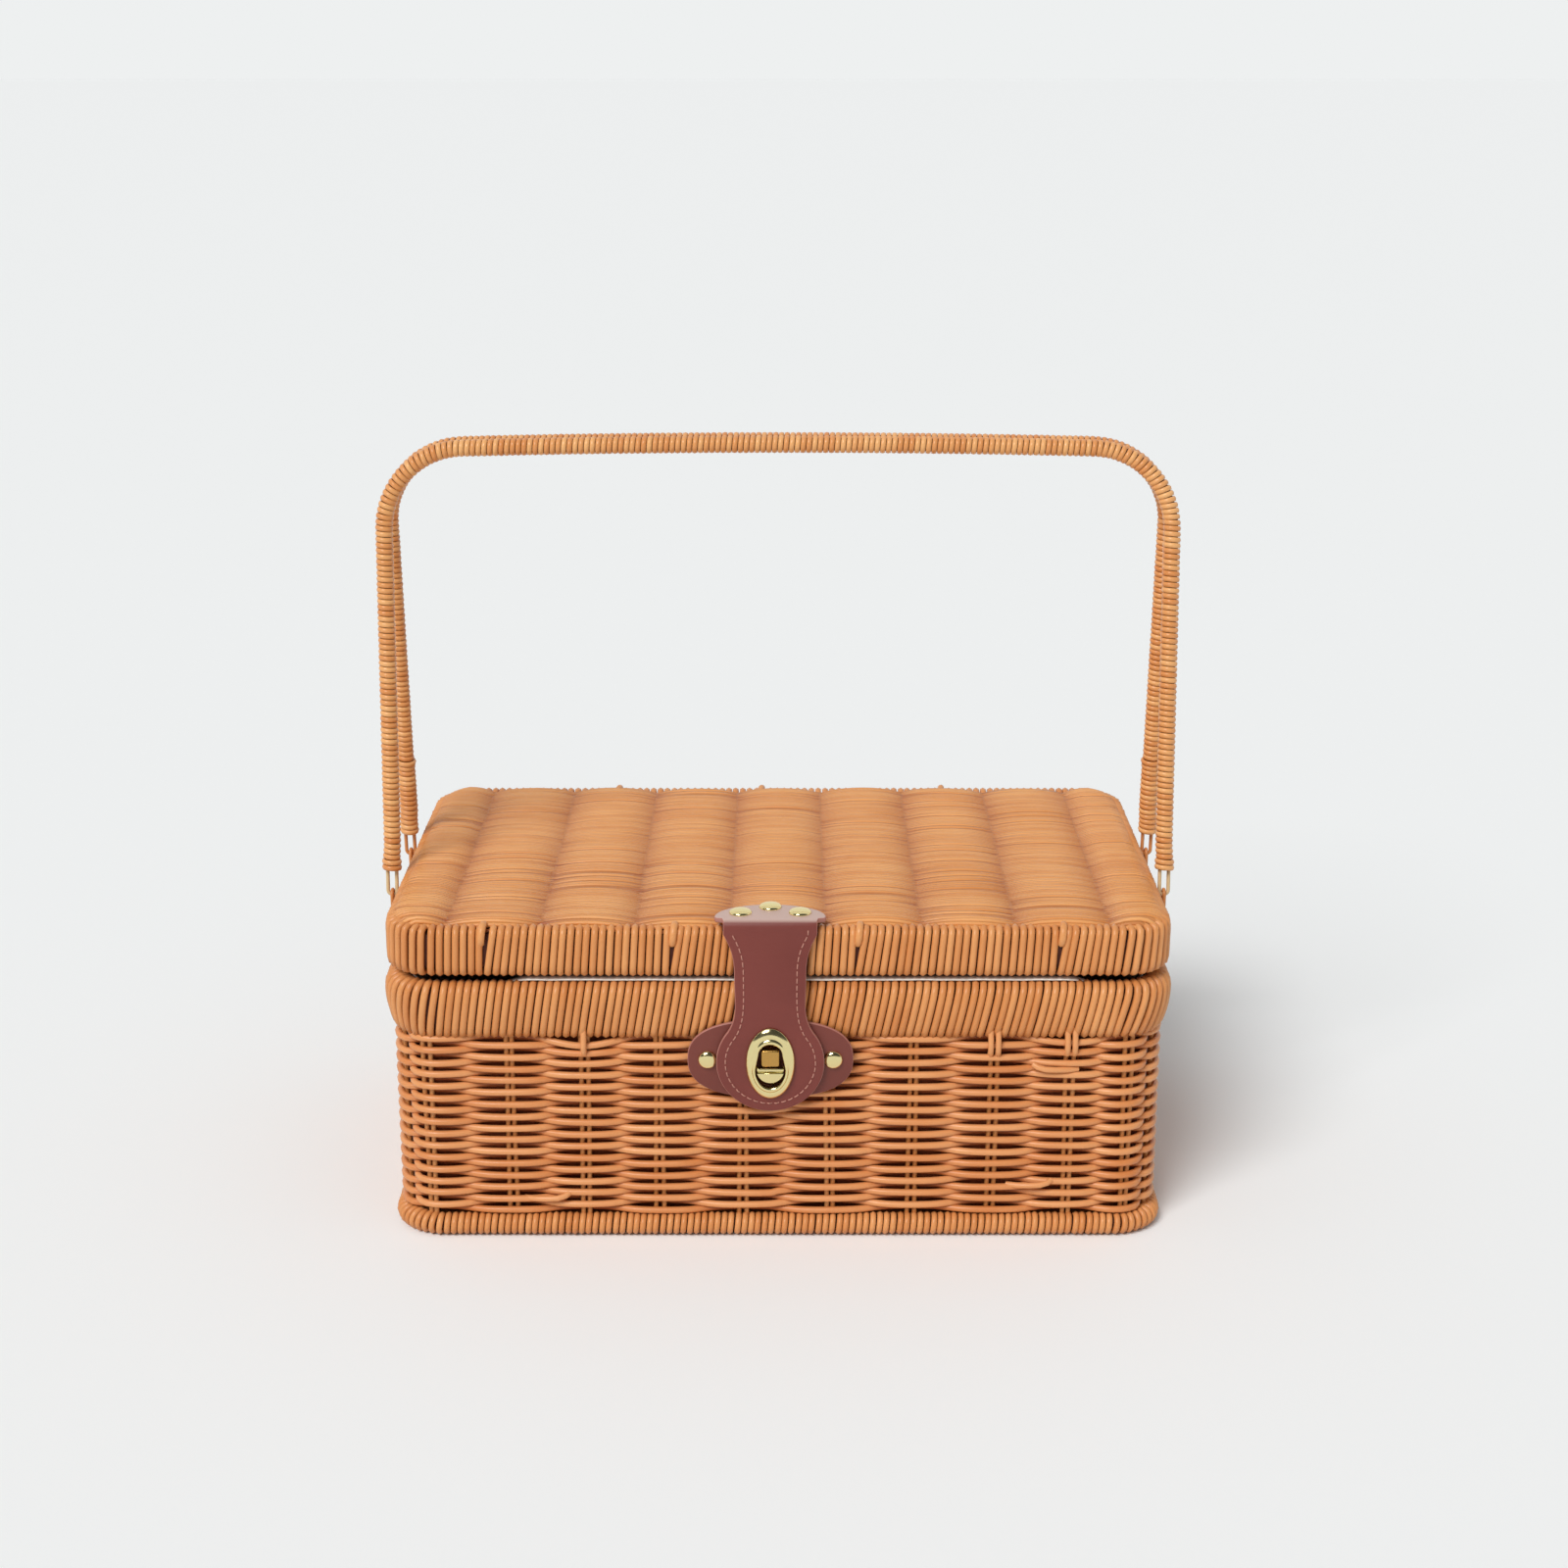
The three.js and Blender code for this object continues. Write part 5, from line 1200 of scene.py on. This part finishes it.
def studio_world():
    """Even white light. The camera sees a pale backdrop, and what shines sees a white studio with a dark band
    above the camera."""
    world = bpy.data.worlds.new("studio")
    world.use_nodes = True
    tree = world.node_tree
    tree.nodes.clear()
    way = node(tree, "SeparateXYZ", {0: node(tree, "TexCoord").outputs["Generated"]})
    height = node(tree, "MapRange", {"Value": way.outputs["Z"], "From Min": -1.0, "From Max": 1.0})
    bands = node(tree, "ValToRGB", {0: height})
    ramp = bands.color_ramp
    ramp.elements[0].color = (0.8, 0.8, 0.8, 1)
    ramp.elements[1].color = WHITE
    for position, level in ((0.54, 0.95), (0.57, 0.09), (0.985, 0.06), (1.0, 0.5)):
        ramp.elements.new(position).color = (level, level, level, 1)
    before = node(tree, "MapRange", {"Value": way.outputs["Y"], "From Min": -0.02, "From Max": -0.14})
    mirrored = node(tree, "Mix", {0: before, MIX_A: (0.95, 0.95, 0.95, 1.0), MIX_B: bands}, data_type="RGBA")
    light = node(tree, "Background", {"Color": WHITE, "Strength": 0.42})
    in_gloss = node(tree, "Background", {"Color": mirrored.outputs[MIXED], "Strength": 0.95})
    backdrop = node(tree, "Background", {"Color": srgb("#EEF0F0"), "Strength": 1.0})
    rays = node(tree, "LightPath").outputs
    unseen = node(tree, "MixShader", {0: rays["Is Glossy Ray"], 1: light, 2: in_gloss})
    seen = node(tree, "MixShader", {0: rays["Is Camera Ray"], 1: unseen, 2: backdrop})
    node(tree, "OutputWorld", {"Surface": seen})
    return world


def stage():
    data = bpy.data.cameras.new("camera")
    data.sensor_width = 36
    data.lens = 57.96
    data.clip_start = 0.05
    data.clip_end = 100
    forward = np.array([0, math.cos(CAMERA_UP), -math.sin(CAMERA_UP)])
    camera = add_object("camera", data)
    camera.location = Vector((np.array(CAMERA_AIM) - CAMERA_AWAY * forward) * MM)
    camera.rotation_euler = Euler((math.pi / 2 - CAMERA_UP, 0, 0))
    bpy.context.scene.camera = camera

    # Matt white paint, which takes the shadow and mirrors next to nothing
    material, tree = new_material("matt white floor")
    shader = node(tree, "BsdfPrincipled", {
        "Base Color": srgb("#F4F6F6"), "Roughness": 0.9, "Specular IOR Level": 0.1})
    node(tree, "OutputMaterial", {"Surface": shader})
    corners = [(x * FLOOR_HALF, y * FLOOR_HALF, 0) for x, y in ((-1, -1), (1, -1), (1, 1), (-1, 1))]
    make_object("floor", corners, [range(4)], material)

    bpy.context.scene.world = studio_world()
    sun = bpy.data.lights.new("key", "SUN")
    sun.energy = 2.32
    sun.angle = math.radians(28)
    add_object("key", sun).rotation_euler = Euler((math.radians(38), math.radians(-26), 0))


woven_wall()
wall_extras()
rails()
lid_knots()
foot_roll()
liner()
handle("front_handle", -1)
handle("rear_handle", 1)
lid_top()
leather_parts()
brass_parts()
hinge_loops()
kept_nodes()
stage()

bpy.context.scene.view_settings.view_transform = "Standard"
